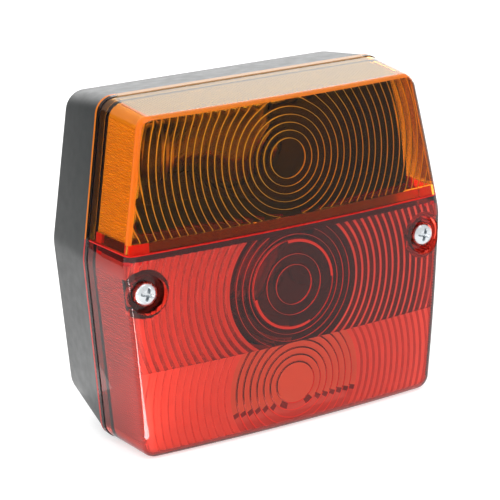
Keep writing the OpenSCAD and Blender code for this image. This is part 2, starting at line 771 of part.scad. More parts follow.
// The earth strip runs beside the holder feet and on to the right clip of the tail bulb.
module earth_strip() {
    top = amber_ring_z + rivet_spacing / 2;
    right = clip_x + clip_foot;
    cross_z = earth_z + earth_w;
    run_z = earth_z + earth_rise;
    color("#b9b5a3") difference() {
        facing(0, floor_y, 0) linear_extrude(strip_t)
            polygon([[earth_x, top], [earth_x, run_z], [right - earth_w, run_z],
                     [right - earth_w, earth_z], [right, earth_z], [right, cross_z],
                     [earth_x + earth_w, cross_z], [earth_x + earth_w, top]]);
        on_floor(terminal_places) cylinder(r = fixing_r, h = 2 * strip_t);
        at_studs() cylinder(r = stud_head_r + slip, h = base_wall + stud_head_h);
    }
}

// Domed rivet heads on the sheet metal feet, with their shanks in the floor.
module rivet(sheet) {
    play = slip / 3;
    dome = [for (k = [[1, 0], [1, 0.4], [0.7, 0.85], [0, 1]])
        [rivet_head_r * k[0], sheet + rivet_head_h * k[1]]];
    rotate_extrude() polygon(concat([[0, play - fixing_l], [fixing_r - play, play - fixing_l],
                                     [fixing_r - play, sheet]], dome));
}
module holder_rivets() {
    color("silver") {
        on_floor([rivet_places[0]]) rivet(strip_t);
        on_floor([for (i = [1:4]) rivet_places[i]]) rivet(sheet_t);
    }
}

// Slotted cheese head screws that clamp the wires to the contacts.
module terminal_screws() {
    play = slip / 3;
    color("silver") on_floor(terminal_places) difference() {
        union() {
            translate([0, 0, strip_t]) cylinder(r = terminal_head_r, h = terminal_head_h);
            translate([0, 0, play - fixing_l])
                cylinder(r = fixing_r - play, h = fixing_l + strip_t);
        }
        translate([-terminal_head_r, -terminal_slot / 2, strip_t + terminal_head_h / 2])
            cube([2 * terminal_head_r, terminal_slot, terminal_head_h]);
    }
}

base_housing();
lens_seal();
amber_lens();
red_lens();
plate_window();
lens_screw(-1);  // lens_screw_left
lens_screw(1);  // lens_screw_right
mount_stud(-1);  // mount_stud_left
mount_stud(1);  // mount_stud_right
cable_grommet();
holder(amber_ring_z);  // indicator_holder
contact(amber_ring_z);  // indicator_contact
bulb_cap(amber_ring_z);  // indicator_cap
bulb_glass(amber_ring_z);  // indicator_glass
holder(-red_ring_z);  // stop_holder
contact(-red_ring_z - contact_shift);  // stop_contact
bulb_cap(-red_ring_z);  // stop_cap
bulb_glass(-red_ring_z);  // stop_glass
tail_clip(-1);  // tail_clip_left
tail_clip(1);  // tail_clip_right
tail_caps();
tail_glass();
earth_strip();
holder_rivets();
terminal_screws();
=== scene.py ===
"""A trailer's rear combination lamp: a black moulded base, an amber and red lens with Fresnel
rings inside its face, and the bulbs behind it. Lengths are in metres, in the frame's axes: X
across the lamp, Y towards the vehicle, Z up."""
import math

import bmesh
import bpy
import numpy as np
from mathutils import Matrix, Vector


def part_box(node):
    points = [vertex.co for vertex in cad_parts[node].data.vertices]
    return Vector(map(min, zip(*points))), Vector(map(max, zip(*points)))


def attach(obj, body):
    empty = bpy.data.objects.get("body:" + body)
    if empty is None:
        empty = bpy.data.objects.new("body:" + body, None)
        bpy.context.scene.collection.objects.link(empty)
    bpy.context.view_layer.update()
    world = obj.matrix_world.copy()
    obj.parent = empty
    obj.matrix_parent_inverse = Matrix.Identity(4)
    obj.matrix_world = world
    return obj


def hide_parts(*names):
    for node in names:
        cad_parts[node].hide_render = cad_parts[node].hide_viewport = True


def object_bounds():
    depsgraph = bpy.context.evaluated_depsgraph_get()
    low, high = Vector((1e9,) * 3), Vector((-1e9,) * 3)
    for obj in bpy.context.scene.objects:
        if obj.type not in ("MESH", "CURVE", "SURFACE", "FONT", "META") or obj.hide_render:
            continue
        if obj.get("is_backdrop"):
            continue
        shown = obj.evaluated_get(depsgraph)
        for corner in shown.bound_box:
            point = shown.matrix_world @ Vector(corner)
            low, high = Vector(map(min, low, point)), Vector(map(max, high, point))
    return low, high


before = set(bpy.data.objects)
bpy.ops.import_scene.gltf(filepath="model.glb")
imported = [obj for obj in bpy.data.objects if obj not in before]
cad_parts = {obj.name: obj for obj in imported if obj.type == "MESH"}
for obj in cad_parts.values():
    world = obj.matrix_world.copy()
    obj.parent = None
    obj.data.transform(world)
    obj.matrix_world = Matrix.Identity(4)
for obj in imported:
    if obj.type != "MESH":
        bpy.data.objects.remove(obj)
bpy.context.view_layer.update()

bl_info = {
    "name": "Rear combination lamp",
    "version": (1, 0, 0),
    "blender": (4, 5, 0),
    "location": "3D View > Sidebar > Lamp",
    "description": "Dresses the frame of a trailer lamp with its lens, base, bulbs and finishes",
    "category": "Object",
}

MM = 0.001
# Steps of each corner's rounding
ARC_STEPS = 8
# Points nearer than the first are merged, and edges shorter than the second dissolved
MERGE, EMPTY = 2e-6, 1e-6
# Angle in degrees past which an edge stays sharp, on most meshes and on threads
SHARP, THREAD_SHARP = 28, 35
# A distance past all of the lamp
FAR = 0.2
# How far one solid reaches into or past another before a Boolean
PAST = 1 * MM
# Gaps from the seal to the ribs and to the webs, and from the joint to the base's posts
RIB_GAP, WEB_GAP, POST_GAP = 0.8 * MM, 1 * MM, 2 * MM
# Straight points of a closed outline's sides, counter-clockwise from the bottom right
SIDE_POINTS = (12, 12, 20, 12, 12, 20)
# Straight points of the lens's bottom, and of its sides between the seam and the corners
BOTTOM_POINTS, SEAM_SIDE_POINTS = 99, 3
# Share of a side's ribs above the seam, and of a lower side's above the field line
UP_SHARE, FIELD_SHARE = 0.85, 0.52
# Height of the amber ribs as shares of the rib height: right side, top and left side
AMBER_RIBS = (0.2, 1, 1)


def length(name, millimetres, description):
    """A length property whose default is given in millimetres."""
    return bpy.props.FloatProperty(name=name, description=description, unit="LENGTH",
                                   default=millimetres * MM, precision=5)


def srgb(text):
    """The linear colour of an sRGB hex string."""
    c = np.array([int(text[i:i + 2], 16) / 255 for i in (1, 3, 5)])
    linear = np.where(c <= 0.04045, c / 12.92, ((c + 0.055) / 1.055) ** 2.4)
    return (*linear.tolist(), 1.0)


def colour(name, text, description):
    """A colour property whose default is an sRGB hex string."""
    return bpy.props.FloatVectorProperty(name=name, description=description, subtype="COLOR",
                                         size=4, min=0, max=1, default=srgb(text))


class LensSizes(bpy.types.PropertyGroup):
    """Sizes of the moulded lens."""
    depth: length("Lens depth", 26, "From the joint to the middle of the face")
    crown_r: length("Crown radius", 550, "Radius of the domed face")
    face_top_x: length("Face top half width", 44.5, "Half width of the face at its top")
    face_top_z: length("Face top", 48.2, "Height of the face's top edge above the screws")
    face_mid_x: length("Face half width", 52.2, "Half width of the face at its widest corners")
    face_mid_z: length("Widest height", 6.4, "Height of the face's widest corners")
    face_bottom_x: length("Face bottom half width", 48.2, "Half width of the face at its bottom")
    face_bottom_z: length("Face bottom", 48.2, "Depth of the bottom edge below the screws")
    face_corner_r: length("Face corner", 4, "Radius of the top and bottom corners")
    edge_r: length("Face edge", 2.5, "Radius of the rounding round the face")
    rim_top_x: length("Joint top half width", 45.8, "Half width of the joint at its top")
    rim_top_z: length("Joint top", 50.5, "Height of the joint's top edge")
    rim_mid_x: length("Joint half width", 53, "Half width of the joint at its widest corners")
    rim_mid_z: length("Joint widest height", 6, "Height of the joint's widest corners")
    rim_bottom_x: length("Joint bottom half width", 50.5, "Half width of the joint's bottom")
    rim_bottom_z: length("Joint bottom", 47.5, "Depth of the joint's bottom edge")
    rim_corner_r: length("Joint corner", 5, "Radius of the joint's top and bottom corners")
    mid_corner_r: length("Widest corner", 14, "Radius of the widest corners at every depth")
    wall: length("Wall", 2.4, "Wall of the lens, sides and face")
    front_wall: length("Front wall", 1.3, "Wall of the lens sides where they meet the face")
    skirt_wall: length("Skirt wall", 1.1, "Wall of the skirt that takes the base's tongue")
    slip: length("Slip", 0.15, "Clearance between parts that slot together")
    tongue_h: length("Tongue", 3, "Height of the tongue of the base")
    seal_h: length("Seal", 1, "Height of the rubber seal on the tongue")
    bead_w: length("Bead width", 1.9, "Width of the bead at the joint")
    bead_out: length("Bead height", 0.25, "How far the bead stands out")
    seam_z: length("Seam height", 11.7, "Height of the seam between amber and red")
    # The weld line carries painted light
    weld_w: length("Weld width", 0.3, "Height of the weld line along the seam")
    weld_h: length("Weld height", 0.05, "How far the weld line stands out")
    lip_h: length("Lip", 2.8, "Height of the red lip behind the amber wall")
    # The scattering blocks at the lip's ends carry spots of painted light
    lip_end: length("Lip end", 6, "Depth of the scattering blocks at the lip's front corners")
    lip_end_x: length("Lip end side", 44.5, "Distance of those blocks from the middle")
    lip_rear: length("Lip rear", 3, "Depth of the scattering blocks at the lip's rear ends")
    lip_under: length("Lip foot", 3.3, "How far the blocks reach below the seam")
    lip_thick: length("Lip block", 0.3, "How much thicker than the lip the blocks are")
    web_t: length("Web", 2.5, "Thickness of the web that parts the chambers")
    field_z: length("Field line", 22.9, "Depth of the line between the red ring fields")


class RingSizes(bpy.types.PropertyGroup):
    """Sizes of the Fresnel rings, the ribs and the window."""
    pitch: length("Ring pitch", 2.18, "Distance from ring to ring")
    depth: length("Ring depth", 0.7, "Depth of a ring's step")
    root: length("Ring root", 0.05, "Height of the rings' lowest edges")
    # Each ring's scattering edge carries a painted highlight
    edge: length("Ring edge", 0.09, "Width of the worn, scattering edge of each ring")
    wide_edge: length("Wide ring edge", 0.8, "Width of the widest of those edges")
    amber_z: length("Amber centre", 30.6, "Height of the amber rings' centre")
    amber_disc: length("Amber disc", 5.55, "Radius of the plain amber disc")
    red_z: length("Red centre", 5.7, "Depth of the upper red rings' centre")
    red_disc: length("Red disc", 5.75, "Radius of the plain disc in them")
    eye_r: length("Eye radius", 20.8, "Radius inside which the red rings are steps")
    low_z: length("Low centre", 35.2, "Depth of the lower red rings' centre")
    low_disc: length("Low disc", 6, "Radius of the plain disc in them")
    low_edge: length("Low ring edge", 0.4, "Width of the clear edge of each lower ring")
    # The lit facets of the lower rings are painted light, and the dark line under them painted
    # shade
    glow_z: length("Frosted depth", 40.5, "Depth of the lower edge of the frosted facets")
    gap_h: length("Dark line", 1.3, "Height of the dark line under the frosted facets")
    rib_pitch: length("Rib pitch", 0.9, "Distance from rib to rib on the lens sides")
    rib_h: length("Rib height", 0.45, "Height of those ribs")
    window_w: length("Window width", 40, "Width of the clear window in the underside")
    window_d: length("Window depth", 12, "Depth of that window, front to back")


class FittingSizes(bpy.types.PropertyGroup):
    """Sizes of the base, the screws and the bulbs."""
    base_depth: length("Base depth", 22, "From the rear face to the joint")
    base_wall: length("Base wall", 2.6, "Wall of the base")
    back_top_x: length("Rear top half width", 44.8, "Half width of the rear face at its top")
    back_top_z: length("Rear top", 48.6, "Height of the rear face's top edge")
    back_mid_x: length("Rear half width", 52.2, "Half width of the rear face's widest corners")
    back_mid_z: length("Rear widest height", 6.8, "Height of the rear face's widest corners")
    back_bottom_x: length("Rear bottom half width", 49.2, "Half width of the rear face's bottom")
    back_bottom_z: length("Rear bottom", 40.5, "Depth of the rear face's bottom edge")
    back_corner_r: length("Rear corner", 6, "Radius of the rear face's corners")
    back_edge_r: length("Rear edge", 2, "Radius of the edge round the rear face")
    screw_x: length("Screw distance", 45.8, "Distance of each lens screw from the middle")
    recess_r: length("Recess radius", 5.5, "Radius of the recess for a screw head")
    recess_depth: length("Recess depth", 3, "Depth of that recess")
    recess_wall: length("Recess wall", 1.4, "Wall round that recess")
    screw_head_r: length("Screw head radius", 3.5, "Radius of the pan head")
    screw_head_h: length("Screw head height", 2.5, "Height of the pan head")
    screw_r: length("Screw radius", 1.95, "Radius of the shank")
    screw_l: length("Screw length", 30, "Length below the head")
    screw_pitch: length("Screw pitch", 1.5, "Pitch of the screw's thread")
    cross_l: length("Cross length", 2.1, "Length of each arm of the cross recess")
    cross_w: length("Cross width", 0.46, "Half width of each arm")
    cross_edge: length("Cross edge", 0.16, "Width of the slope along each arm")
    cross_depth: length("Cross depth", 1.5, "Depth of the cross recess")
    post_r: length("Post radius", 3.6, "Radius of the screw posts")
    stud_spacing: length("Stud spacing", 45, "Spacing of the mounting studs")
    stud_r: length("Stud radius", 2.5, "Radius of the studs")
    entry_x: length("Cable entry side", 31, "Distance of the cable entry from the middle")
    entry_z: length("Cable entry depth", 16, "Depth of the cable entry below the screws")
    grommet_r: length("Grommet neck", 5, "Radius of the hole in the base")
    grommet_hole: length("Grommet hole", 3, "Radius of the hole through the grommet")
    grommet_t: length("Grommet flange", 1.4, "Depth of the recess for its rear flange")
    stud_neck_r: length("Stud neck", 3.2, "Radius of the necks in the rear wall")
    stud_af: length("Stud head", 8, "Width across the flats of the stud heads")
    stud_head_h: length("Stud head height", 3.2, "Height of the stud heads")
    stud_out: length("Stud length", 16, "Length of the studs behind the lamp")
    stud_pitch: length("Stud pitch", 0.8, "Pitch of the studs' thread")
    bulb_y: length("Bulb axis", 18, "Distance from the rear face to the bulbs' axes")
    neck_r: length("Bulb neck", 6.8, "Radius of the glass where it enters the cap")
    glass_wall: length("Bulb wall", 0.5, "Wall of the bulbs' glass")


class LampColours(bpy.types.PropertyGroup):
    """Colours of the mouldings."""
    amber: colour("Amber", "#ffb83c", "Tint of the polished amber acrylic")
    red: colour("Red", "#ff5e4c", "Tint of the polished red acrylic")
    black: colour("Black", "#232626", "Colour of the base's plastic")
    rubber: colour("Rubber", "#191a1a", "Colour of the seal and the grommet")


def six(tx, tz, mx, mz, bx, bz, r, mid_r):
    """Corners [x, z, radius], counter-clockwise from the bottom right as seen from the front."""
    return np.array([[bx, -bz, r], [mx, mz, mid_r], [tx, tz, r],
                     [-tx, tz, r], [-mx, mz, mid_r], [-bx, -bz, r]])


class Form:
    """The lamp's outlines and depths, worked out from the sizes."""

    def __init__(self, scene):
        lens, rings, fit = scene.lens_sizes, scene.ring_sizes, scene.fitting_sizes
        self.lens, self.rings, self.fit = lens, rings, fit
        self.face = six(lens.face_top_x, lens.face_top_z, lens.face_mid_x, lens.face_mid_z,
                        lens.face_bottom_x, lens.face_bottom_z, lens.face_corner_r,
                        lens.mid_corner_r)
        self.rim = six(lens.rim_top_x, lens.rim_top_z, lens.rim_mid_x, lens.rim_mid_z,
                       lens.rim_bottom_x, lens.rim_bottom_z, lens.rim_corner_r,
                       lens.mid_corner_r)
        self.back = six(fit.back_top_x, fit.back_top_z, fit.back_mid_x, fit.back_mid_z,
                        fit.back_bottom_x, fit.back_bottom_z, fit.back_corner_r,
                        lens.mid_corner_r)
        self.depth = fit.base_depth + lens.depth
        self.joint_y = -fit.base_depth
        self.floor_y = -fit.base_wall
        self.tongue_y = self.joint_y - lens.tongue_h
        self.seal_y = self.tongue_y - lens.seal_h
        self.rib_y = self.seal_y - RIB_GAP
        self.web_y = self.seal_y - WEB_GAP
        self.post_y = self.joint_y - POST_GAP
        self.crown_y = lens.crown_r - self.depth
        self.side_run = -self.dome(np.array([lens.face_mid_x, 0.0])) - lens.edge_r - fit.base_depth
        self.seat_y = self.dome(np.array([fit.screw_x, 0.0])) + fit.recess_depth
        side = np.linalg.norm(np.diff(self.rim[:, :2], axis=0, append=self.rim[:1, :2]), axis=1)
        self.rib_counts = np.round(side / rings.rib_pitch).astype(int)

    def dome(self, xz, sink=0.0):
        """Depth of the domed face: a sphere about a point on the lamp's axis, its radius less
        the sink."""
        return self.crown_y - np.sqrt((self.lens.crown_r - sink) ** 2 - (xz ** 2).sum(-1))

    def wall_at(self, y):
        """Outline of the drafted lens wall at depth y, between the joint and the face."""
        t = (self.joint_y - y) / self.side_run
        return self.rim * (1 - t) + self.face * t

    def base_at(self, y):
        """Outline of the base at depth y, between the rear face and the joint."""
        t = y / self.joint_y
        return self.back * (1 - t) + self.rim * t


def side_normals(corners):
    """Outward normals of the six sides: each side's direction turned by a right angle."""
    d = np.roll(corners[:, :2], -1, axis=0) - corners[:, :2]
    return np.stack([d[:, 1], -d[:, 0]], 1) / np.linalg.norm(d, axis=1)[:, None]


def corner_arc(corners, i, inset):
    """Points of the rounding at corner i, moved in by inset: an arc that touches both sides."""
    normals = side_normals(corners)
    a, b = normals[i - 1], normals[i]
    centre = corners[i, :2] - corners[i, 2] * (a + b) / (1 + a @ b)
    start = math.atan2(a[1], a[0])
    w = start + math.acos(a @ b) * np.linspace(0, 1, ARC_STEPS + 1)
    return centre + (corners[i, 2] - inset) * np.stack([np.cos(w), np.sin(w)], 1)


def side_cut(corners, i, inset, z):
    """The point of side i, moved in by inset, at height z."""
    p = corners[i, :2] - inset * side_normals(corners)[i]
    d = corners[(i + 1) % 6, :2] - corners[i, :2]
    return (p + d * (z - p[1]) / d[1])[None, :]


def through(knots, counts, rib=0.0, closed=False):
    """A path through groups of points, with counts[i] points on the straight run after group
    i. On a run whose count is negative every second point stands in by rib, square to it. rib
    is one value or one for each run."""
    pieces = []
    ribs = np.broadcast_to(rib, len(counts))
    for i, count in enumerate(counts):
        p, q = knots[i][-1], knots[(i + 1) % len(knots)][0]
        n = abs(count)
        k = np.arange(1, n + 1)
        t = (k / (n + 1))[:, None]
        d = (q - p) / max(np.linalg.norm(q - p), 1e-9)
        inward = np.array([-d[1], d[0]])
        shift = (k % 2)[:, None] * inward * ribs[i] * (count < 0)
        pieces += [knots[i], p * (1 - t) + q * t + shift]
    if not closed:
        pieces.append(knots[-1])
    return np.concatenate(pieces)


def whole_path(corners, inset):
    """The closed outline round the six corners, moved in by inset."""
    knots = [corner_arc(corners, i, inset) for i in range(6)]
    return through(knots, SIDE_POINTS, closed=True)


def amber_path(form, corners, inset, rib=0.0):
    """The outline above the seam, from the seam on the right over the top to the left. The
    right side's ribs are low."""
    z = form.lens.seam_z
    n = form.rib_counts
    up = int(round(n[1] * UP_SHARE))
    knots = [side_cut(corners, 1, inset, z), corner_arc(corners, 2, inset),
             corner_arc(corners, 3, inset), side_cut(corners, 3, inset, z)]
    return through(knots, [1 - 2 * up, 1 - 2 * n[2], 1 - 2 * up], rib * np.array(AMBER_RIBS))


def red_ribs(form):
    """Numbers of ribs on a red side, above and below the field line."""
    n = form.rib_counts[0]
    upper = int(round(n * FIELD_SHARE))
    return upper, n - upper


def red_path(form, corners, inset, rib=0.0):
    """The outline below the seam, from the seam on the left under the bottom to the right. Its
    sides have a point on the line between the two fields of rings."""
    z, line = form.lens.seam_z, -form.lens.field_z
    upper, lower = red_ribs(form)
    knots = [side_cut(corners, 3, inset, z), corner_arc(corners, 4, inset),
             side_cut(corners, 4, inset, line), corner_arc(corners, 5, inset),
             corner_arc(corners, 0, inset), side_cut(corners, 0, inset, line),
             corner_arc(corners, 1, inset), side_cut(corners, 1, inset, z)]
    counts = [SEAM_SIDE_POINTS, 1 - 2 * upper, 1 - 2 * lower, BOTTOM_POINTS, 1 - 2 * lower,
              1 - 2 * upper, SEAM_SIDE_POINTS]
    return through(knots, counts, rib)


def red_marks(form):
    """Places in the red path of its two points on the field line, left and right."""
    upper, lower = red_ribs(form)
    arc = ARC_STEPS + 1
    left = 1 + SEAM_SIDE_POINTS + arc + 2 * upper - 1
    right = left + 1 + 2 * (2 * lower - 1) + 2 * arc + BOTTOM_POINTS
    return left, right


def raised(xz, y):
    """Points [x, y, z] from an outline and a depth, or a depth for each point."""
    y = np.broadcast_to(y, xz.shape[:1])
    return np.stack([xz[:, 0], y, xz[:, 1]], 1)


class Skin:
    """Collects grids of points and polygons, and makes one mesh of them."""

    def __init__(self):
        self.points, self.faces, self.finishes, self.count = [], [], [], 0

    def grid(self, rows, finish=0, closed=False):
        """A surface through rows of equally many points. finish is a number, one for each
        strip between two rows, or one for each face."""
        rows = np.asarray(rows, float)
        m, n = rows.shape[:2]
        across = n if closed else n - 1
        j, i = np.meshgrid(np.arange(m - 1), np.arange(across), indexing="ij")
        k = (i + 1) % n
        base = self.count
        quads = np.stack([j * n + i, (j + 1) * n + i, (j + 1) * n + k, j * n + k], -1) + base
        self.points.append(rows.reshape(-1, 3))
        self.faces += quads.reshape(-1, 4).tolist()
        finish = np.asarray(finish)
        if finish.ndim < 2:
            finish = finish.reshape(-1, 1)
        strips = np.broadcast_to(finish, (m - 1, across))
        self.finishes += strips.reshape(-1).tolist()
        self.count += m * n

    def polygon(self, points, finish=0):
        """One flat face."""
        self.points.append(np.asarray(points, float))
        self.faces.append(list(range(self.count, self.count + len(points))))
        self.finishes.append(int(finish))
        self.count += len(points)

    def mesh(self, name, angle=SHARP):
        """The mesh: near points merged, empty faces gone, all faces turned outwards, and edges
        sharper than the angle kept sharp."""
        mesh = bpy.data.meshes.new(name)
        mesh.from_pydata(np.concatenate(self.points), [], self.faces)
        mesh.polygons.foreach_set("material_index", self.finishes)
        bm = bmesh.new()
        bm.from_mesh(mesh)
        bmesh.ops.remove_doubles(bm, verts=bm.verts, dist=MERGE)
        bmesh.ops.dissolve_degenerate(bm, edges=bm.edges, dist=EMPTY)
        bmesh.ops.recalc_face_normals(bm, faces=bm.faces)
        if bm.calc_volume(signed=True) < 0:
            bmesh.ops.reverse_faces(bm, faces=bm.faces)
        bm.to_mesh(mesh)
        bm.free()
        shade(mesh, angle)
        return mesh


def shade(mesh, angle=SHARP):
    """Smooth shading, with edges sharper than the angle kept sharp."""
    mesh.polygons.foreach_set("use_smooth", np.ones(len(mesh.polygons), bool))
    mesh.set_sharp_from_angle(angle=math.radians(angle))


def piece(name, mesh, materials, replaces=()):
    """A finished piece: an object at the origin that rides on the lamp's one body."""
    finishes = np.zeros(len(mesh.polygons), np.int32)
    mesh.polygons.foreach_get("material_index", finishes)
    mesh.materials.clear()
    for material in materials:
        mesh.materials.append(material)
    mesh.polygons.foreach_set("material_index", finishes)
    obj = bpy.data.objects.new(name, mesh)
    bpy.context.scene.collection.objects.link(obj)
    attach(obj, "root")
    if replaces:
        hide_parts(*replaces)
    return obj


# Places of the finishes in the lists RED_FINISHES and AMBER_FINISHES
POLISHED, STEP = 0, 1
# On the red ridges, the rising sides carry painted light and the falling sides are clear
RIDGE, RIDGE_BACK, LOW_RIDGE, LOW_BACK = 2, 3, 4, 5
# On the amber lens, the right side's clear ribs, the roof's dull ribs and the bead's pale top are
# painted light and shade, and the rounding's warm line a painted highlight
PAINTED_SIDE, ROOF_SHADE, WARM_HIGHLIGHT, PALE_TOP_LIGHT = 2, 3, 4, 5
# Of these, the ring edges carry painted highlights, the lit lower facets and the lip's ends
# painted light, and the dark line painted shade
EDGE_HIGHLIGHT, BEAD, GLOW, WEB, ROUND, LIT, SHADE = 6, 7, 8, 9, 10, 11, 12
# The wide ring's land, which arcs() turns into one of the others
WIDE_LAND = 13
# Width of a ring's riser, which is all but upright
RISER = 1e-6
# Gap in pitches after which a ring's edge is wide
WIDE_GAP = 1.5


def ring_profile(form, starts, reach, step_r, ridges, edge):
    """Radii and heights of the rings, from the middle out, and the finish of each strip. The
    rings begin at the listed radii and go on at their pitch. Inside step_r a ring rises over
    its edge to its depth and falls evenly to the next, and after a wide gap its edge is wide.
    Outside it the ring rises over a share of its width and falls again. ridges holds the two
    finishes and that share."""
    r = form.rings
    starts = [s * MM for s in starts]
    starts += np.arange(starts[-1] + r.pitch, reach + r.pitch, r.pitch).tolist()
    radii, heights = [0.0, starts[0] * 0.5, starts[0]], [0.0, 0.0, r.root]
    finishes = [POLISHED, POLISHED]
    for before, a, b in zip([starts[0]] + starts[:-1], starts[:-1], starts[1:]):
        if a < step_r:
            gap = a - before > WIDE_GAP * r.pitch
            land = r.wide_edge if gap else edge
            radii += [a + land, a + land + RISER, b]
            heights += [r.root, r.depth, r.root]
            finishes += [WIDE_LAND if gap else EDGE_HIGHLIGHT, EDGE_HIGHLIGHT, POLISHED]
        else:
            radii += [a + (b - a) * ridges[2], b]
            heights += [r.depth, r.root]
            finishes += list(ridges[:2])
    return np.array(radii), np.array(heights), finishes


def ring_rows(form, border, centre_z, starts, step_r, ridges=(), edge=None):
    """Rows of ring points from the centre to the border. Each ray runs to one point of the
    border, a point's distance along it is a ring's radius or the border's, whichever is less,
    and its depth is the dome sunk by the wall and the ring's height there."""
    ray = border - np.array([0.0, centre_z])
    reach = np.linalg.norm(ray, axis=1)
    radii, heights, finishes = ring_profile(form, starts, reach.max(), step_r, ridges,
                                            edge or form.rings.edge)
    r = np.minimum(radii[:, None], reach[None, :])
    h = np.where(radii[:, None] <= reach[None, :], heights[:, None],
                 np.interp(reach, radii, heights)[None, :])
    xz = np.array([0.0, centre_z]) + (ray / reach[:, None])[None] * r[:, :, None]
    y = form.dome(xz, form.lens.wall + h)
    return np.stack([xz[..., 0], y, xz[..., 1]], -1), finishes


# Places of the outer face's rows, as shares of the way from the centre to the border
FACE_STEPS = (1, 0.93, 0.8, 0.6, 0.35, 0.12, 0)


def face_rows(form, border, centre_z):
    """Rows of points of the smooth outer face: the border drawn in to the centre by FACE_STEPS,
    each point laid on the dome."""
    t = np.array(FACE_STEPS)[:, None, None]
    centre = np.array([0.0, centre_z])
    xz = centre + (border - centre)[None] * t
    return np.stack([xz[..., 0], form.dome(xz), xz[..., 1]], -1)


def inner_wall_rows(form, path):
    """Rows of the inner wall, from the face to the joint: the ribbed stretch with toothed ends,
    the plain band and the skirt. Each row is the drafted outline moved in by the wall, and every
    second point of a ribbed row by the rib's height as well."""
    lens, rib = form.lens, form.rings.rib_h
    top = path(form, form.face, lens.front_wall + rib)
    toothed = path(form, form.face, lens.front_wall, rib)
    plain = path(form, form.wall_at(form.rib_y), lens.wall)
    ribbed = path(form, form.wall_at(form.rib_y), lens.wall, rib)
    slope = 2 * np.linalg.norm(ribbed - plain, axis=1)
    return [raised(top, form.dome(top, lens.wall)),
            raised(toothed, form.dome(toothed, lens.wall)),
            raised(ribbed, form.rib_y - slope),
            raised(plain, form.rib_y),
            raised(path(form, form.wall_at(form.seal_y), lens.wall), form.seal_y),
            raised(path(form, form.wall_at(form.seal_y), lens.skirt_wall), form.seal_y),
            raised(path(form, form.rim, lens.skirt_wall), form.joint_y)]


# Share of the bead's width that scatters light
BEAD_REAR = 0.4


def outer_wall_rows(form, path):
    """Rows of the outer wall, from the joint to the face: the bead, the drafted wall and the
    rounding. At angle w the rounding lies in by its radius times one less the cosine, and behind
    the dome by its radius times one less the sine."""
    lens = form.lens
    front = form.joint_y - lens.bead_w
    rear = form.joint_y - lens.bead_w * BEAD_REAR
    end = front - lens.bead_out
    rows = [raised(path(form, form.rim, -lens.bead_out), form.joint_y),
            raised(path(form, form.wall_at(rear), -lens.bead_out), rear),
            raised(path(form, form.wall_at(front), -lens.bead_out), front),
            raised(path(form, form.wall_at(end), 0), end)]
    for w in np.radians(np.linspace(0, 90, 8)):
        xz = path(form, form.face, lens.edge_r * (1 - math.cos(w)))
        rows.append(raised(xz, form.dome(xz) + lens.edge_r * (1 - math.sin(w))))
    return rows


def between(p, q, n):
    """n points evenly between p and q, without the ends."""
    t = (np.arange(1, n + 1) / (n + 1))[:, None]
    return p * (1 - t) + q * t


# Finishes of the strips of the inner wall, from the face, and of the outer, from the joint
WALL_STRIPS = [STEP, STEP, STEP, POLISHED, POLISHED, POLISHED]
RED_OUTSIDE = [BEAD] + 3 * [POLISHED] + 7 * [ROUND]
AMBER_OUTSIDE = [BEAD] + 3 * [POLISHED] + 4 * [WARM_HIGHLIGHT] + 3 * [POLISHED]
# How many of the outer strips the bead takes up
BEAD_STRIPS = 3
# How near its end the roof stops, at each side and in front
ROOF_END = 4 * MM


def amber_walls(form, rows):
    """Finishes of the amber wall's inner faces, where the roof's ribs are dulled by painted shade
    and the right side's ribs are clear, painted light and shade that sets that side apart."""
    middle = (rows[:-1, :-1] + rows[1:, 1:]) / 2
    finishes = np.broadcast_to(np.array(WALL_STRIPS)[:, None], middle.shape[:2])
    right = (finishes == STEP) & (middle[..., 0] > 0)
    return np.where(on_roof(form, middle), ROOF_SHADE, np.where(right, PAINTED_SIDE, finishes))


def on_roof(form, middle):
    """Whether points lie on the lens's top wall, between its corners."""
    lens = form.lens
    return ((middle[..., 2] > lens.face_top_z - ROOF_END)
            & (np.abs(middle[..., 0]) < lens.face_top_x - ROOF_END))


def amber_outside(form, rows):
    """Finishes of the amber lens's outer faces: the bead, with painted light on the roof, the
    polished wall and the warm painted highlight on half of its rounding, which ends above the red
    lip."""
    middle = (rows[:-1, :-1] + rows[1:, 1:]) / 2
    finishes = np.broadcast_to(np.array(AMBER_OUTSIDE)[:, None], middle.shape[:2])
    bead = np.arange(len(AMBER_OUTSIDE))[:, None] < BEAD_STRIPS
    low = (middle[..., 2] < form.lens.seam_z + form.lens.lip_h) & (finishes == WARM_HIGHLIGHT)
    return np.select([bead & on_roof(form, middle), low], [PALE_TOP_LIGHT, POLISHED], finishes)


def lens_skin(form, path):
    """The walls of one lens, with the flat ends where the seam cuts them."""
    skin = Skin()
    inner = inner_wall_rows(form, path)
    outer = outer_wall_rows(form, path)
    if path is amber_path:
        inside = amber_walls(form, np.asarray(inner))
        outside = amber_outside(form, np.asarray(outer))
    else:
        inside, outside = WALL_STRIPS, RED_OUTSIDE
    skin.grid(inner, inside)
    skin.grid([inner[-1], outer[0]], BEAD)
    skin.grid(outer, outside)
    for end in (0, -1):
        column = [row[end] for row in inner + outer]
        skin.polygon(column, STEP)
    return skin, inner[0][:, [0, 2]], outer[-1][:, [0, 2]]


# Straight points of the face at the seam and on the field line
SEAM_POINTS = 110
# Radii in millimetres of the red eye's rings
EYE_RINGS = (8.8, 12.3, 14.5, 16.6, 18.7, 20.8)
# Angles in degrees between which the eye's wide ring carries a painted highlight
GLINT_ARCS = ((-1, 95), (190, 292))
# Share of each red ridge that rises, in the upper and the lower field
UPPER_RISE, LOWER_RISE = 0.45, 0.68


def close_seam(form, skin, face, rings, inside):
    """The flat edge of the face at the seam: a strip from the outer face to the ends of the
    rings, and a triangle at each end, where the wall takes over."""
    outer = raised(face, form.dome(face))
    flat = raised(inside, form.dome(inside, form.lens.wall))
    skin.grid([outer, rings], STEP)
    skin.polygon([outer[0], rings[0], flat[-1]], STEP)
    skin.polygon([outer[-1], rings[-1], flat[0]], STEP)


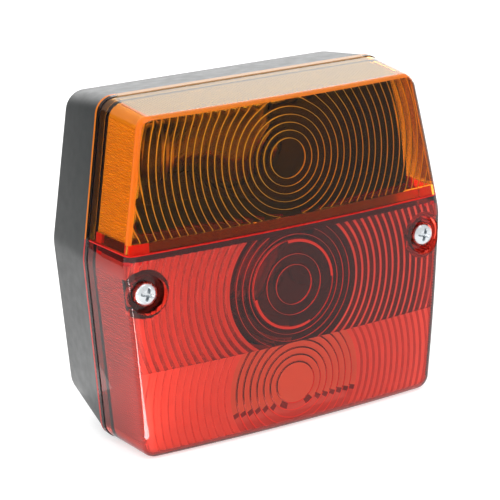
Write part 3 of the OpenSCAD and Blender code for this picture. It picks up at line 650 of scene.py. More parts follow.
def amber_lens_mesh(form):
    """The amber lens: one field of rings inside walls on three sides."""
    r = form.rings
    skin, inside, outside = lens_skin(form, amber_path)
    inner_seam = between(inside[-1], inside[0], SEAM_POINTS)
    outer_seam = between(outside[-1], outside[0], SEAM_POINTS)
    border = np.concatenate([inside, inner_seam])
    rows, finishes = ring_rows(form, border, r.amber_z, [r.amber_disc / MM], FAR)
    skin.grid(rows, finishes, closed=True)
    edge = len(inside)
    skin.grid([rows[-1][:edge], raised(inside, form.dome(inside, form.lens.wall))], STEP)
    skin.grid(face_rows(form, np.concatenate([outside, outer_seam]), r.amber_z), closed=True)
    seam = np.concatenate([rows[-1][edge - 1:], rows[-1][:1]])
    face = np.concatenate([outside[-1:], outer_seam, outside[:1]])
    close_seam(form, skin, face, seam, inside)
    return skin.mesh("amber_lens")


def glowing(form, rows, finishes):
    """Finishes of the lower field's faces. Inside its circle and above the window's front edge
    the facets carry painted light and their edges are clear, and below a dark line of painted
    shade they're ridge backs."""
    r = form.rings
    middle = rows[:-1] * 0.5 + rows[1:] * 0.5
    finishes = np.repeat(np.asarray(finishes)[:, None], rows.shape[1], axis=1)
    inside = np.hypot(middle[..., 0], middle[..., 2] + r.low_z) < r.eye_r
    lit = inside & (middle[..., 2] > -r.glow_z)
    under = inside & (middle[..., 2] < -r.glow_z - r.gap_h)
    line = inside & ~lit & ~under
    facet = finishes == POLISHED
    return np.select([lit & facet, under & facet, line & facet, lit],
                     [GLOW, LOW_BACK, SHADE, POLISHED], finishes)


def arcs(form, rows, finishes):
    """Finishes of the upper field's faces. The wide ring's land carries a painted highlight only
    on two arcs, upper right and lower left, and is clear on the rest."""
    middle = rows[:-1] * 0.5 + rows[1:] * 0.5
    finishes = np.repeat(np.asarray(finishes)[:, None], rows.shape[1], axis=1)
    angle = np.degrees(np.arctan2(middle[..., 2] + form.rings.red_z, middle[..., 0])) % 360
    glinting = np.any([(angle > low) & (angle < high) for low, high in GLINT_ARCS], axis=0)
    return np.where(finishes == WIDE_LAND, np.where(glinting, EDGE_HIGHLIGHT, POLISHED), finishes)


def red_lens_mesh(form):
    """The red lens: two fields of rings that meet on a level line."""
    r = form.rings
    skin, inside, outside = lens_skin(form, red_path)
    left, right = red_marks(form)
    inner_seam = between(inside[-1], inside[0], SEAM_POINTS)
    outer_seam = between(outside[-1], outside[0], SEAM_POINTS)
    line = between(inside[left], inside[right], SEAM_POINTS)
    upper = np.concatenate([inside[right:], inner_seam, inside[:left + 1], line])
    lower = np.concatenate([inside[left:right + 1], line[::-1]])
    up_rows, up_finishes = ring_rows(form, upper, -r.red_z, [r.red_disc / MM, *EYE_RINGS],
                                     r.eye_r - r.edge, (RIDGE, RIDGE_BACK, UPPER_RISE))
    low_rows, low_finishes = ring_rows(form, lower, -r.low_z, [r.low_disc / MM],
                                       r.eye_r - r.edge, (LOW_RIDGE, LOW_BACK, LOWER_RISE),
                                       r.low_edge)
    skin.grid(up_rows, arcs(form, up_rows, up_finishes), closed=True)
    skin.grid(low_rows, glowing(form, low_rows, low_finishes), closed=True)
    top, low = up_rows[-1], low_rows[-1]
    n_right = len(inside) - right
    n_left = left + 1
    seam_start = n_right
    left_start = seam_start + SEAM_POINTS
    flat = raised(inside, form.dome(inside, form.lens.wall))
    skin.grid([top[:n_right], flat[right:]], STEP)
    skin.grid([top[left_start:left_start + n_left], flat[:left + 1]], STEP)
    skin.grid([low[:right - left + 1], flat[left:right + 1]], STEP)
    up_line = np.concatenate([top[left_start + n_left - 1:], top[:1]])
    low_line = np.concatenate([low[right - left:], low[:1]])[::-1]
    skin.grid([up_line, low_line], STEP)
    skin.polygon([up_line[0], low_line[0], flat[left]], STEP)
    skin.polygon([up_line[-1], low_line[-1], flat[right]], STEP)
    skin.grid(face_rows(form, np.concatenate([outside, outer_seam]), -r.red_z), closed=True)
    seam = top[seam_start - 1:left_start + 1]
    face = np.concatenate([outside[-1:], outer_seam, outside[:1]])
    close_seam(form, skin, face, seam, inside)
    return skin.mesh("red_lens")


def body_mesh(form, inset):
    """The closed body of the lens sunk by inset: drafted walls, a rounded edge, a domed face
    and a flat rear. A fan of rows closes each end."""
    lens = form.lens
    edge = lens.edge_r - inset
    rear = whole_path(form.rim, inset)
    rows = [raised(rear * t, form.joint_y) for t in (0, 1)]
    for w in np.radians(np.linspace(0, 90, 6)) if edge > 0 else [math.pi / 2]:
        xz = whole_path(form.face, inset + max(edge, 0) * (1 - math.cos(w)))
        rows.append(raised(xz, form.dome(xz, inset) + max(edge, 0) * (1 - math.sin(w))))
    for t in (0.9, 0.75, 0.5, 0.25, 0):
        rows.append(raised(xz * t, form.dome(xz * t, inset)))
    return closed_mesh("lens_body", rows)


def box_mesh(low, high):
    """A closed box between two corners."""
    bm = bmesh.new()
    bmesh.ops.create_cube(bm, size=1)
    low, high = Vector(low), Vector(high)
    size = high - low
    bmesh.ops.transform(bm, matrix=Matrix.Translation((low + high) / 2)
                        @ Matrix.Diagonal((*size, 1)), verts=bm.verts)
    mesh = bpy.data.meshes.new("box")
    bm.to_mesh(mesh)
    bm.free()
    return mesh


def turned_rows(profile, centre, columns, axis="y"):
    """Rows of a body of revolution: each [s, r] of the profile becomes a circle of radius r at
    s along the axis through the centre."""
    profile = np.asarray(profile, float)
    w = np.linspace(0, 2 * math.pi, columns, endpoint=False)
    s, r = profile[:, :1], profile[:, 1:]
    along = np.broadcast_to(s, (len(profile), columns))
    if axis == "y":
        rows = [r * np.cos(w), along, -r * np.sin(w)]
    else:
        rows = [along, r * np.cos(w), r * np.sin(w)]
    return np.stack(rows, -1) + np.asarray(centre)


def closed_mesh(name, rows, angle=SHARP):
    """The mesh of one closed grid."""
    skin = Skin()
    skin.grid(rows, closed=True)
    return skin.mesh(name, angle)


def rod(x, z, r, y0, y1, columns=48):
    """A closed cylinder along Y."""
    profile = [[y0, 0], [y0, r], [y1, r], [y1, 0]]
    return closed_mesh("rod", turned_rows(profile, (x, 0, z), columns))


def combined(mesh, others, operation):
    """The mesh joined with, cut by or met with each of the others. All are closed, and faces
    keep their finishes."""
    scene = bpy.context.scene
    obj = bpy.data.objects.new("work", mesh)
    scene.collection.objects.link(obj)
    tools = []
    for other in others:
        tool = bpy.data.objects.new("tool", other)
        scene.collection.objects.link(tool)
        tools.append(tool)
        cut = obj.modifiers.new("cut", "BOOLEAN")
        cut.operation = operation
        cut.solver = "MANIFOLD"
        cut.material_mode = "INDEX"
        cut.object = tool
    graph = bpy.context.evaluated_depsgraph_get()
    result = bpy.data.meshes.new_from_object(obj.evaluated_get(graph))
    for used in [obj] + tools:
        old = used.data
        bpy.data.objects.remove(used)
        bpy.data.meshes.remove(old)
    return result


def with_finish(mesh, finish):
    """The same mesh with one finish on all its faces."""
    mesh.polygons.foreach_set("material_index", np.full(len(mesh.polygons), finish))
    return mesh


# How far the blocks stand proud of the lip, so that no two faces coincide
PROUD = 0.02 * MM


def lip_blocks(form, inset, top_z):
    """The scattering blocks at the lip's ends, at each side in front and behind, which carry spots
    of painted light.
    """
    lens = form.lens
    front_y, rear_y = -form.depth + lens.lip_end, form.rib_y - PROUD
    blocks = []
    for side in (-1, 1):
        for y0, y1, x in ((-FAR, front_y, lens.lip_end_x), (rear_y - lens.lip_rear, rear_y, 0)):
            x0, x1 = sorted((side * x, side * FAR))
            shell = combined(body_mesh(form, inset - PROUD),
                             [body_mesh(form, lens.wall + lens.lip_thick)], "DIFFERENCE")
            block = combined(shell, [box_mesh((x0, y0, lens.seam_z - lens.lip_under),
                                              (x1, y1, top_z - PROUD))], "INTERSECT")
            blocks.append(with_finish(block, LIT))
    return blocks


def finished_amber(form):
    """The amber lens, its inner half cut back where the red lip lies behind it."""
    lens = form.lens
    slot = combined(body_mesh(form, lens.wall / 2), [
        box_mesh((-FAR, -FAR, lens.seam_z - PAST), (FAR, FAR, lens.seam_z + lens.lip_h))],
        "INTERSECT")
    mesh = combined(amber_lens_mesh(form), [with_finish(slot, POLISHED)], "DIFFERENCE")
    shade(mesh)
    mesh.name = "amber_lens"
    return mesh


def finished_red(form):
    """The red lens with its lip, web, screw cups and posts, and its holes."""
    lens, fit = form.lens, form.fit
    half = (lens.wall + lens.slip) / 2
    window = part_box("plate_window")
    top_z = lens.seam_z + lens.lip_h - lens.slip / 2
    lip = combined(body_mesh(form, half), [body_mesh(form, lens.wall)], "DIFFERENCE")
    lip = combined(lip, [box_mesh((-FAR, -FAR, lens.seam_z - PAST), (FAR, form.rib_y, top_z))],
                   "INTERSECT")
    web = combined(body_mesh(form, half), [
        box_mesh((-FAR, -FAR, lens.seam_z - lens.web_t), (FAR, form.web_y, lens.seam_z))],
        "INTERSECT")
    weld_y = form.joint_y - 2 * PAST
    weld = combined(body_mesh(form, -lens.weld_h), [
        box_mesh((-FAR, -FAR, lens.seam_z - lens.weld_w), (FAR, weld_y, lens.seam_z))],
        "INTERSECT")
    # The weld line and the lip's end blocks carry painted light
    additions = [with_finish(lip, POLISHED), with_finish(web, WEB), with_finish(weld, LIT),
                 *lip_blocks(form, half, top_z)]
    holes = []
    for side in (-1, 1):
        x = side * fit.screw_x
        cup = rod(x, 0, fit.recess_r + fit.recess_wall, -FAR, form.seat_y + fit.recess_wall)
        cup = combined(body_mesh(form, half), [cup], "INTERSECT")
        post = rod(x, 0, fit.post_r, form.seat_y - PAST, form.post_y - lens.slip)
        additions += [with_finish(cup, POLISHED), with_finish(post, POLISHED)]
        holes.append(rod(x, 0, fit.recess_r, -FAR, form.seat_y, 72))
        holes.append(rod(x, 0, fit.screw_r + lens.slip, form.seat_y - 2 * PAST,
                         form.post_y + PAST))
    low, high = Vector(window[0]), Vector(window[1])
    middle = (low + high) / 2
    half_w, half_d = form.rings.window_w / 2 + lens.slip, form.rings.window_d / 2 + lens.slip
    holes.append(box_mesh((-half_w, middle.y - half_d, -FAR), (half_w, middle.y + half_d, high.z)))
    mesh = combined(red_lens_mesh(form), additions, "UNION")
    mesh = combined(mesh, holes, "DIFFERENCE")
    shade(mesh)
    mesh.name = "red_lens"
    return mesh


def finished_base(form):
    """The base: a drafted shell with a rounded rear edge and a tongue for the lens, with its
    posts, its web and its holes. At angle w the rear edge lies in by its radius times one less
    the sine, and in front of the rear face by its radius times one less the cosine."""
    lens, fit = form.lens, form.fit
    edge = fit.back_edge_r
    rows = []
    for w in np.radians(np.linspace(0, 90, 7)):
        y = -edge * (1 - math.cos(w))
        rows.append(raised(whole_path(form.base_at(y), edge * (1 - math.sin(w))), y))
    rows = [rows[0] * [0, 1, 0]] + rows
    tongue = lens.skirt_wall + lens.slip
    for corners, inset, y in ((form.rim, 0, form.joint_y), (form.rim, tongue, form.joint_y),
                              (form.wall_at(form.tongue_y), tongue, form.tongue_y),
                              (form.wall_at(form.tongue_y), fit.base_wall, form.tongue_y),
                              (form.rim, fit.base_wall, form.joint_y),
                              (form.base_at(form.floor_y), fit.base_wall, form.floor_y)):
        rows.append(raised(whole_path(corners, inset), y))
    rows.append(rows[-1] * [0, 1, 0])
    mesh = closed_mesh("base_housing", rows)
    play = 2 * lens.slip
    web_z = lens.seam_z - lens.web_t
    t = (lens.seam_z - lens.face_mid_z) / (lens.face_top_z - lens.face_mid_z)
    inner = (lens.face_mid_x * (1 - t) + lens.face_top_x * t - lens.wall - form.rings.rib_h
             - play)
    outer = fit.back_mid_x - fit.base_wall / 2 - PAST
    additions = [box_mesh((-outer, form.joint_y + play, web_z),
                          (outer, form.floor_y / 2, lens.seam_z)),
                 box_mesh((-inner, form.web_y + play, web_z),
                          (inner, form.floor_y, lens.seam_z))]
    holes = []
    for side in (-1, 1):
        x = side * fit.screw_x
        additions.append(rod(x, 0, fit.post_r, form.post_y, form.floor_y / 2))
        holes.append(rod(x, 0, fit.screw_r, form.post_y - PAST,
                         form.seat_y + fit.screw_l + PAST))
        holes.append(rod(side * fit.stud_spacing / 2, 0, fit.stud_neck_r + lens.slip,
                         form.floor_y - PAST, PAST))
    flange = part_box("cable_grommet")
    flange_r = (flange[1][0] - flange[0][0]) / 2 + lens.slip
    holes += [rod(fit.entry_x, -fit.entry_z, fit.grommet_r, form.floor_y - PAST, PAST),
              rod(fit.entry_x, -fit.entry_z, flange_r, -fit.grommet_t, PAST)]
    mesh = combined(mesh, additions, "UNION")
    mesh = combined(mesh, holes, "DIFFERENCE")
    shade(mesh)
    mesh.name = "base_housing"
    return mesh


def add(tree, kind, inputs=None, **settings):
    """Adds one node with its settings. Each input gets a value, or a link from a socket."""
    made = tree.nodes.new(kind)
    for name, value in settings.items():
        setattr(made, name, value)
    for key, value in (inputs or {}).items():
        if isinstance(value, bpy.types.NodeSocket):
            tree.links.new(value, made.inputs[key])
        else:
            made.inputs[key].default_value = value
    return made


def new_material(name, inputs, normal=None):
    """A material with one Principled shader. normal(tree) gives its bump."""
    material = bpy.data.materials.new(name)
    material.use_nodes = True
    tree = material.node_tree
    tree.nodes.clear()
    if normal:
        inputs = {**inputs, "Normal": normal(tree)}
    inputs = {k: v(tree) if callable(v) else v for k, v in inputs.items()}
    shader = add(tree, "ShaderNodeBsdfPrincipled", inputs)
    add(tree, "ShaderNodeOutputMaterial", {"Surface": shader.outputs[0]})
    return material


def place(tree):
    """Object coordinates in millimetres."""
    spot = add(tree, "ShaderNodeTexCoord")
    return add(tree, "ShaderNodeVectorMath", {0: spot.outputs["Object"], "Scale": 1 / MM},
               operation="SCALE").outputs[0]


# Values between which nearly all of Blender's noise lies
NOISE_LOW, NOISE_HIGH = 0.3, 0.7


def grain(size, height, detail=2.0):
    """A bump of noise whose grains measure size millimetres and stand height metres high."""
    def make(tree):
        """The bump's normal: noise with one grain each size, turned into slopes."""
        noise = add(tree, "ShaderNodeTexNoise",
                    {"Vector": place(tree), "Scale": 1 / size, "Detail": detail})
        return add(tree, "ShaderNodeBump", {"Height": noise.outputs[0], "Strength": 1.0,
                                            "Distance": height}).outputs[0]
    return make


def varied(low, high, size):
    """A value between low and high that changes over patches of size millimetres."""
    def make(tree):
        """The value: noise stretched from its own range to the one from low to high."""
        noise = add(tree, "ShaderNodeTexNoise",
                    {"Vector": place(tree), "Scale": 1 / size, "Detail": 4.0})
        return add(tree, "ShaderNodeMapRange", {
            "Value": noise.outputs[0], "From Min": NOISE_LOW, "From Max": NOISE_HIGH,
            "To Min": low, "To Max": high}).outputs[0]
    return make


# Mirror tint of tinted acrylic, weaker than white so that the white room leaves it deep
WEAK_MIRROR = "#7a7a7a"


def polished_acrylic(name, tint, mirror=WEAK_MIRROR):
    """Injection-moulded acrylic with a polished surface, in a linear tint: clear tinted glass
    with faint waves 6 mm long and a mirror of its own strength."""
    return new_material(name, {"Base Color": tuple(tint), "Roughness": 0.02, "IOR": 1.49,
                               "Specular Tint": srgb(mirror), "Transmission Weight": 1.0},
                        grain(6, 0.004 * MM))


def stepped_acrylic(name, tint, clear, roughness=0.25):
    """The same acrylic on steps and ribs, whose edges scatter light: clear is the share of
    glass, and the rest scatters. Its grains measure 0.6 mm."""
    return new_material(name, {"Base Color": srgb(tint), "Roughness": roughness, "IOR": 1.49,
                               "Specular Tint": srgb(WEAK_MIRROR),
                               "Transmission Weight": clear},
                        grain(0.6, 0.01 * MM))


def metal(name, tint, low, high, patch, size, height):
    """A metal in an sRGB tint. Its roughness runs from low to high over patches, and its
    grains have a size in millimetres and a height in metres."""
    return new_material(name, {"Base Color": srgb(tint), "Metallic": 1.0,
                               "Roughness": varied(low, high, patch)}, grain(size, height))


def amber_finishes(colours):
    """Finishes of the amber lens."""
    return {
        # Polished acrylic of the face, walls and ring facets: the deep, clear amber
        "amber_polished": polished_acrylic("amber_acrylic_polished", colours.amber),
        # Moulded ribs and steps: the golden sheen of the sides
        "amber_step": stepped_acrylic("amber_acrylic_steps", "#ffc444", 0.25),
        # Low, clear ribs on the right side alone, a painted difference of light: the darker right
        # side, which shows what lies behind
        "amber_painted_side": stepped_acrylic("amber_acrylic_clear_ribs_painted_side", "#ffc050", 0.85, 0.1),
        # Ribs of the top wall, which meet the light edge on, darkened by painted shade: its dull
        # olive gold
        "amber_roof_shade": stepped_acrylic("amber_acrylic_roof_shade", "#bcbe40", 0.2),
        # The outer half of the face's rounding, with a painted highlight: a warm orange line
        "amber_warm_highlight": stepped_acrylic("amber_acrylic_rounding_highlight", "#ff8420", 0.55, 0.1),
        # The bead along the top wall, painted with the light from above: a pale brown line at the
        # joint
        "amber_pale_top_light": stepped_acrylic("amber_acrylic_bead_top_light", "#b08458", 0.1),
        # Ring edges with painted highlights: the bright circles in the face
        "amber_edge_highlight": stepped_acrylic("amber_acrylic_ring_edge_highlights", "#ffe48c", 0.03),
        # The bead at the joint, where the mould parts: an even orange band
        "amber_bead": stepped_acrylic("amber_acrylic_bead", "#f5851f", 0.3),
    }


def red_finishes(colours):
    """Finishes of the red lens."""
    return {
        # Polished acrylic of the face, walls and eye: the deep, clear red
        "red_polished": polished_acrylic("red_acrylic_polished", colours.red, "#c4c4c4"),
        # The polished rounding with its full mirror: the white glint round the face
        "red_round": polished_acrylic("red_acrylic_rounding", colours.red, "#ffffff"),
        # Ends of the lip and the weld line, with the light through the amber wall painted on:
        # spots of full red
        "red_lit": stepped_acrylic("red_acrylic_lip_ends_lit", "#f02018", 0.2),
        # The lens in front of the window's edge: the dark line across the lower rings, a painted
        # shade
        "red_shade": stepped_acrylic("red_acrylic_window_edge_shade", "#8a3230", 0.35),
        # Moulded ribs and steps: the pinkish sheen of the sides
        "red_step": stepped_acrylic("red_acrylic_steps", "#cc8880", 0.3),
        # Edges of the eye's rings with painted highlights: the pale circles in the upper field
        "red_edge_highlight": stepped_acrylic("red_acrylic_ring_edge_highlights", "#ff9484", 0.12),
        # Rising sides of the ridges round the eye, painted with the light the ridges catch: the
        # pale bands
        "red_ridge_a": stepped_acrylic("red_acrylic_ridges_lit", "#f8a494", 0.2),
        # Their falling sides: the clear bands between
        "red_ridge_b": stepped_acrylic("red_acrylic_ridge_backs", "#e07868", 0.85),
        # Rising sides of the lower field's ridges, painted with the light they catch: its palest
        # bands
        "red_low_a": stepped_acrylic("red_acrylic_low_ridges_lit", "#ffc4b8", 0.08),
        # Their falling sides, painted pink with the white haze of reflection: the pink between
        "red_low_b": stepped_acrylic("red_acrylic_low_ridge_backs", "#ffa898", 0.35),
        # The bead at the joint, where the mould parts: an even red band
        "red_bead": stepped_acrylic("red_acrylic_bead", "#d83c38", 0.3),
        # Facets in front of the window, painted with the light that comes through it: the creamy
        # lower rings
        "red_glow": stepped_acrylic("red_acrylic_painted_light_facets", "#f4e0c0", 0.05),
        # The web between the chambers: a dark red shelf under the seam
        "red_web": stepped_acrylic("red_acrylic_web", "#b04038", 0.6),
    }


def fitting_finishes(colours):
    """Finishes of the base and of everything in it."""
    return {
        # Clear polished acrylic: the window's even, colourless pane
        "clear": polished_acrylic("clear_acrylic", srgb("#f4f6f6")),
        # ABS from a spark-eroded mould: a satin black with a soft, grainy glint
        "abs": new_material("satin_black_abs", {
            "Base Color": tuple(colours.black), "Roughness": varied(0.38, 0.46, 3),
            "IOR": 1.53, "Specular IOR Level": 0.4}, grain(0.35, 0.008 * MM)),
        # Moulded EPDM rubber: a dull black without a clear reflection
        "rubber": new_material("black_epdm_rubber", {
            "Base Color": tuple(colours.rubber), "Roughness": varied(0.65, 0.8, 2),
            "IOR": 1.5}, grain(0.4, 0.01 * MM)),
        # Steel with bright zinc plate: the cool glint of the screws and studs
        "zinc": metal("bright_zinc_plate", "#cfd3d6", 0.2, 0.34, 1.2, 0.5, 0.004 * MM),
        # Stamped galvanised sheet in a darkened grey: the holders' soft grey
        "holder": metal("dull_galvanised_sheet", "#54524c", 0.45, 0.6, 2, 0.8, 0.006 * MM),
        # Rolled spring brass: the warm yellow of the contacts and clips
        "brass": metal("spring_brass", "#b08d45", 0.3, 0.42, 2, 0.5, 0.004 * MM),
        # Brass with nickel plate: the warm silver of the bulbs' caps
        "nickel": metal("nickelled_brass", "#b3ad9c", 0.28, 0.4, 2, 0.5, 0.004 * MM),
        # Blown glass: the bulbs' thin, sharp outlines
        "bulb": new_material("bulb_glass", {
            "Base Color": srgb("#ffffff"), "Roughness": 0.0, "IOR": 1.5,
            "Transmission Weight": 1.0}),
        # Drawn tungsten: the filaments' dark grey thread
        "tungsten": new_material("tungsten_wire", {
            "Base Color": srgb("#6e6a66"), "Metallic": 1.0, "Roughness": 0.35}),
    }


# All finishes by name, filled in by main()
FINISH = {}
# Solids of the CAD that are shown as they are, and their finishes
KEPT_NODES = {
    "lens_seal": "rubber", "plate_window": "clear",
    "indicator_holder": "holder", "stop_holder": "holder", "earth_strip": "holder",
    "indicator_contact": "brass", "stop_contact": "brass", "tail_clip_left": "brass",
    "tail_clip_right": "brass", "indicator_cap": "nickel", "stop_cap": "nickel",
    "tail_caps": "nickel", "holder_rivets": "zinc", "terminal_screws": "zinc",
}


class LAMP_OT_kept_nodes(bpy.types.Operator):
    """Gives each solid that is shown as it is its finish"""
    bl_idname = "lamp.kept_nodes"
    bl_label = "Finish the inner solids"

    def execute(self, context):
        for name, finish in KEPT_NODES.items():
            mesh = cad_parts[name].data
            mesh.materials.clear()
            mesh.materials.append(FINISH[finish])
        return {"FINISHED"}


# Finishes of each lens, in the order of the numbers that its faces have
RED_FINISHES = ("red_polished", "red_step", "red_ridge_a", "red_ridge_b", "red_low_a",
                "red_low_b", "red_edge_highlight", "red_bead", "red_glow", "red_web", "red_round",
                "red_lit", "red_shade")
AMBER_FINISHES = ("amber_polished", "amber_step", "amber_painted_side", "amber_roof_shade", "amber_warm_highlight",
                  "amber_pale_top_light", "amber_edge_highlight", "amber_bead")


class LAMP_OT_lens(bpy.types.Operator):
    """Makes the amber and the red lens"""
    bl_idname = "lamp.lens"
    bl_label = "Make the lens"

    def execute(self, context):
        form = Form(context.scene)
        piece("amber_lens_moulding", finished_amber(form),
              [FINISH[name] for name in AMBER_FINISHES], ["amber_lens"])
        piece("red_lens_moulding", finished_red(form),
              [FINISH[name] for name in RED_FINISHES], ["red_lens"])
        return {"FINISHED"}


class LAMP_OT_base(bpy.types.Operator):
    """Makes the black base"""
    bl_idname = "lamp.base"
    bl_label = "Make the base"

    def execute(self, context):
        piece("base_moulding", finished_base(Form(context.scene)), [FINISH["abs"]],
              ["base_housing"])
        return {"FINISHED"}


# Points round a screw and round a stud
SCREW_COLUMNS, STUD_COLUMNS = 96, 72
# Depths of their threads as shares of the pitch
SCREW_THREAD, STUD_THREAD = 0.3, 0.525
# Height of a pan head's rim as a share of the head's height
PAN_RIM = 0.35
# Length over which a screw's thread deepens, length of its point, and the point's share
THREAD_IN, POINT_L, POINT_R = 2 * MM, 3 * MM, 0.02
# A hexagon head's plane and the start of its chamfer as shares of its inner radius, and the
# chamfer's rise as a share of its width
PLANE, CHAMFER_FROM, CHAMFER = 0.9, 0.95, 0.58
# Length of a stud's tapered end, and the taper's share
END_L, END_TAPER = 1 * MM, 0.2
# Turn of the cross recess in radians, as the screws stopped
CROSS_TURN = 0.3


def screw_rows(form, x):
    """Rows of a pan head screw, from the middle of its head to its tip. The head is a rounded
    disc with a cross sunk into it, deepest in its middle. The shank's radius falls by a thread
    that climbs one pitch a turn."""
    fit = form.fit
    head_r, head_h = fit.screw_head_r, fit.screw_head_h
    rim_h = head_h * PAN_RIM
    pitch, thread = fit.screw_pitch, SCREW_THREAD * fit.screw_pitch
    w = np.linspace(0, 2 * math.pi, SCREW_COLUMNS, endpoint=False)
    r = np.concatenate([np.linspace(0, head_r - head_h, 14),
                        head_r - head_h * (1 - np.cos(np.linspace(math.pi / 2, 0, 24)[1:]))])
    rise = np.clip((r - (head_r - head_h)) / head_h, 0, 1)
    top = rim_h + (head_h - rim_h) * np.sqrt(1 - rise ** 2)
    u = np.abs(r[:, None] * np.cos(w + CROSS_TURN))
    v = np.abs(r[:, None] * np.sin(w + CROSS_TURN))

    def arm(along, across):
        """Depth of one arm as a share: it rises from nought at the arm's side to one over the
        slope's width, and likewise from its end over one millimetre."""
        return (np.clip((fit.cross_w - across) / fit.cross_edge, 0, 1)
                * np.clip((fit.cross_l - along) / (1 * MM), 0, 1))

    h = top[:, None] - fit.cross_depth * np.maximum(arm(u, v), arm(v, u))
    rr = np.broadcast_to(r[:, None], h.shape)
    s = np.linspace(0, fit.screw_l, 150)[:, None]
    turn = (s / pitch + w / (2 * math.pi)) % 1
    taper = np.clip((fit.screw_l - s) / POINT_L, POINT_R, 1)
    shank = taper * (fit.screw_r - thread * np.abs(2 * turn - 1) * np.clip(s / THREAD_IN, 0, 1))
    r_all = np.concatenate([rr, np.full((1, len(w)), head_r), shank,
                            np.zeros((1, len(w)))])
    h_all = np.concatenate([h, np.zeros((1, len(w))), np.broadcast_to(-s, shank.shape),
                            np.full((1, len(w)), -fit.screw_l)])
    return np.stack([x + r_all * np.cos(w), form.seat_y - h_all, r_all * np.sin(w)], -1)


def stud_rows(form, x):
    """Rows of a stud, from its hexagon head to its end. The head's radius is the distance to
    the flat divided by the cosine of the angle from it. The shank's radius falls by a thread
    that climbs one pitch a turn."""
    fit = form.fit
    w = np.linspace(0, 2 * math.pi, STUD_COLUMNS, endpoint=False)
    flat = (w + math.pi / 6) % (math.pi / 3) - math.pi / 6
    hexagon = fit.stud_af / 2 / np.cos(flat)
    top = form.floor_y - fit.stud_head_h
    ones = np.ones(len(w))
    rows = [(0 * ones, top * ones), (PLANE * fit.stud_af / 2 * ones, top * ones)]
    chamfer = np.maximum(hexagon - fit.stud_af / 2 * CHAMFER_FROM, 0) * CHAMFER
    rows += [(hexagon, top + chamfer), (hexagon, form.floor_y * ones),
             (fit.stud_neck_r * ones, form.floor_y * ones), (fit.stud_neck_r * ones, 0 * ones)]
    pitch, thread = fit.stud_pitch, STUD_THREAD * fit.stud_pitch
    s = np.linspace(0, fit.stud_out, 161)[:, None]
    turn = (s / pitch + w / (2 * math.pi)) % 1
    end = np.clip((fit.stud_out - s) / END_L, 0, 1) * END_TAPER + (1 - END_TAPER)
    shank = end * (fit.stud_r - thread * np.abs(2 * turn - 1))
    r = np.concatenate([np.stack([a for a, b in rows]), shank, np.zeros((1, len(w)))])
    y = np.concatenate([np.stack([b for a, b in rows]), np.broadcast_to(s, shank.shape),
                        np.full((1, len(w)), fit.stud_out)])
    return np.stack([x + r * np.cos(w), y, r * np.sin(w)], -1)


def grommet_rows(fit):
    """Rows of the grommet: two flanges with chamfered edges, a neck between them, and a thin
    membrane that closes the hole until a cable is pushed through."""
    low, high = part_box("cable_grommet")
    front, rear, flange_r = low[1], high[1], (high[0] - low[0]) / 2
    wall, t, hole = fit.base_wall, fit.grommet_t, fit.grommet_hole
    soft, film, thin = 0.35 * MM, -0.5 * wall, 0.5 * MM
    profile = [[film, 0], [film, hole], [rear - soft, hole], [rear, hole + soft],
               [rear, flange_r - soft], [rear - soft, flange_r], [-t, flange_r],
               [-t, fit.grommet_r], [-wall, fit.grommet_r], [-wall, flange_r],
               [front + soft, flange_r], [front, flange_r - soft], [front, hole + soft],
               [front + soft, hole], [film - thin, hole], [film - thin, 0]]
    return turned_rows(profile, (fit.entry_x, 0, -fit.entry_z), 64)


class LAMP_OT_fasteners(bpy.types.Operator):
    """Makes the lens screws, the mounting studs and the grommet"""
    bl_idname = "lamp.fasteners"
    bl_label = "Make the screws, studs and grommet"

    def execute(self, context):
        form = Form(context.scene)
        grommet = closed_mesh("grommet", grommet_rows(form.fit))
        piece("cable_grommet_soft", grommet, [FINISH["rubber"]], ["cable_grommet"])
        for side, word in ((-1, "left"), (1, "right")):
            rows = screw_rows(form, side * form.fit.screw_x)
            piece(f"lens_screw_pan_{word}", closed_mesh("screw", rows, THREAD_SHARP),
                  [FINISH["zinc"]], [f"lens_screw_{word}"])
            rows = stud_rows(form, side * form.fit.stud_spacing / 2)
            piece(f"mount_stud_hex_{word}", closed_mesh("stud", rows, THREAD_SHARP),
                  [FINISH["zinc"]], [f"mount_stud_{word}"])
        return {"FINISHED"}


# Angles in degrees between which a bulb's ball is drawn, from the neck to the top
BALL_ANGLES = (-57, 89.9)
# Place where the neck's straight part ends, as a share of its foot's distance
NECK_SHARE = 0.62
# Radius of the rounding at each end of the tail bulb
TUBE_BEND = 2 * MM
# A direction that no wire follows
ASKEW = (0.0, 0.31, 0.95)
# The filament: its length, its coil's radius and turns, and the radii of its wire and leads
COIL_SPAN, COIL_R, COIL_TURNS = 9 * MM, 0.7 * MM, 12
WIRE_R, LEAD_R = 0.12 * MM, 0.28 * MM
# The leads' feet: their distance from the axis, and from the glass's end
FOOT_GAP, FOOT_IN = 2.2 * MM, 3 * MM


def envelope_rows(fit, z):
    """Rows of a hollow bulb: a ball drawn in to a neck, and the same sunk by the glass wall."""
    low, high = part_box("indicator_glass")
    ball = (high[2] - low[2]) / 2
    neck_end = low[0]
    wall = fit.glass_wall
    w = np.radians(np.linspace(*BALL_ANGLES, 26))
    outer = [[neck_end, fit.neck_r], [neck_end * NECK_SHARE, fit.neck_r]]
    outer += np.stack([ball * np.sin(w), ball * np.cos(w)], 1).tolist()
    outer = np.array(outer)
    inner = outer.copy()
    inner[:2, 1] -= wall
    inner[2:] *= (ball - wall) / ball
    profile = np.concatenate([outer, inner[::-1], outer[:1]])
    return turned_rows(profile, (0, -fit.bulb_y, z), 64, "x")


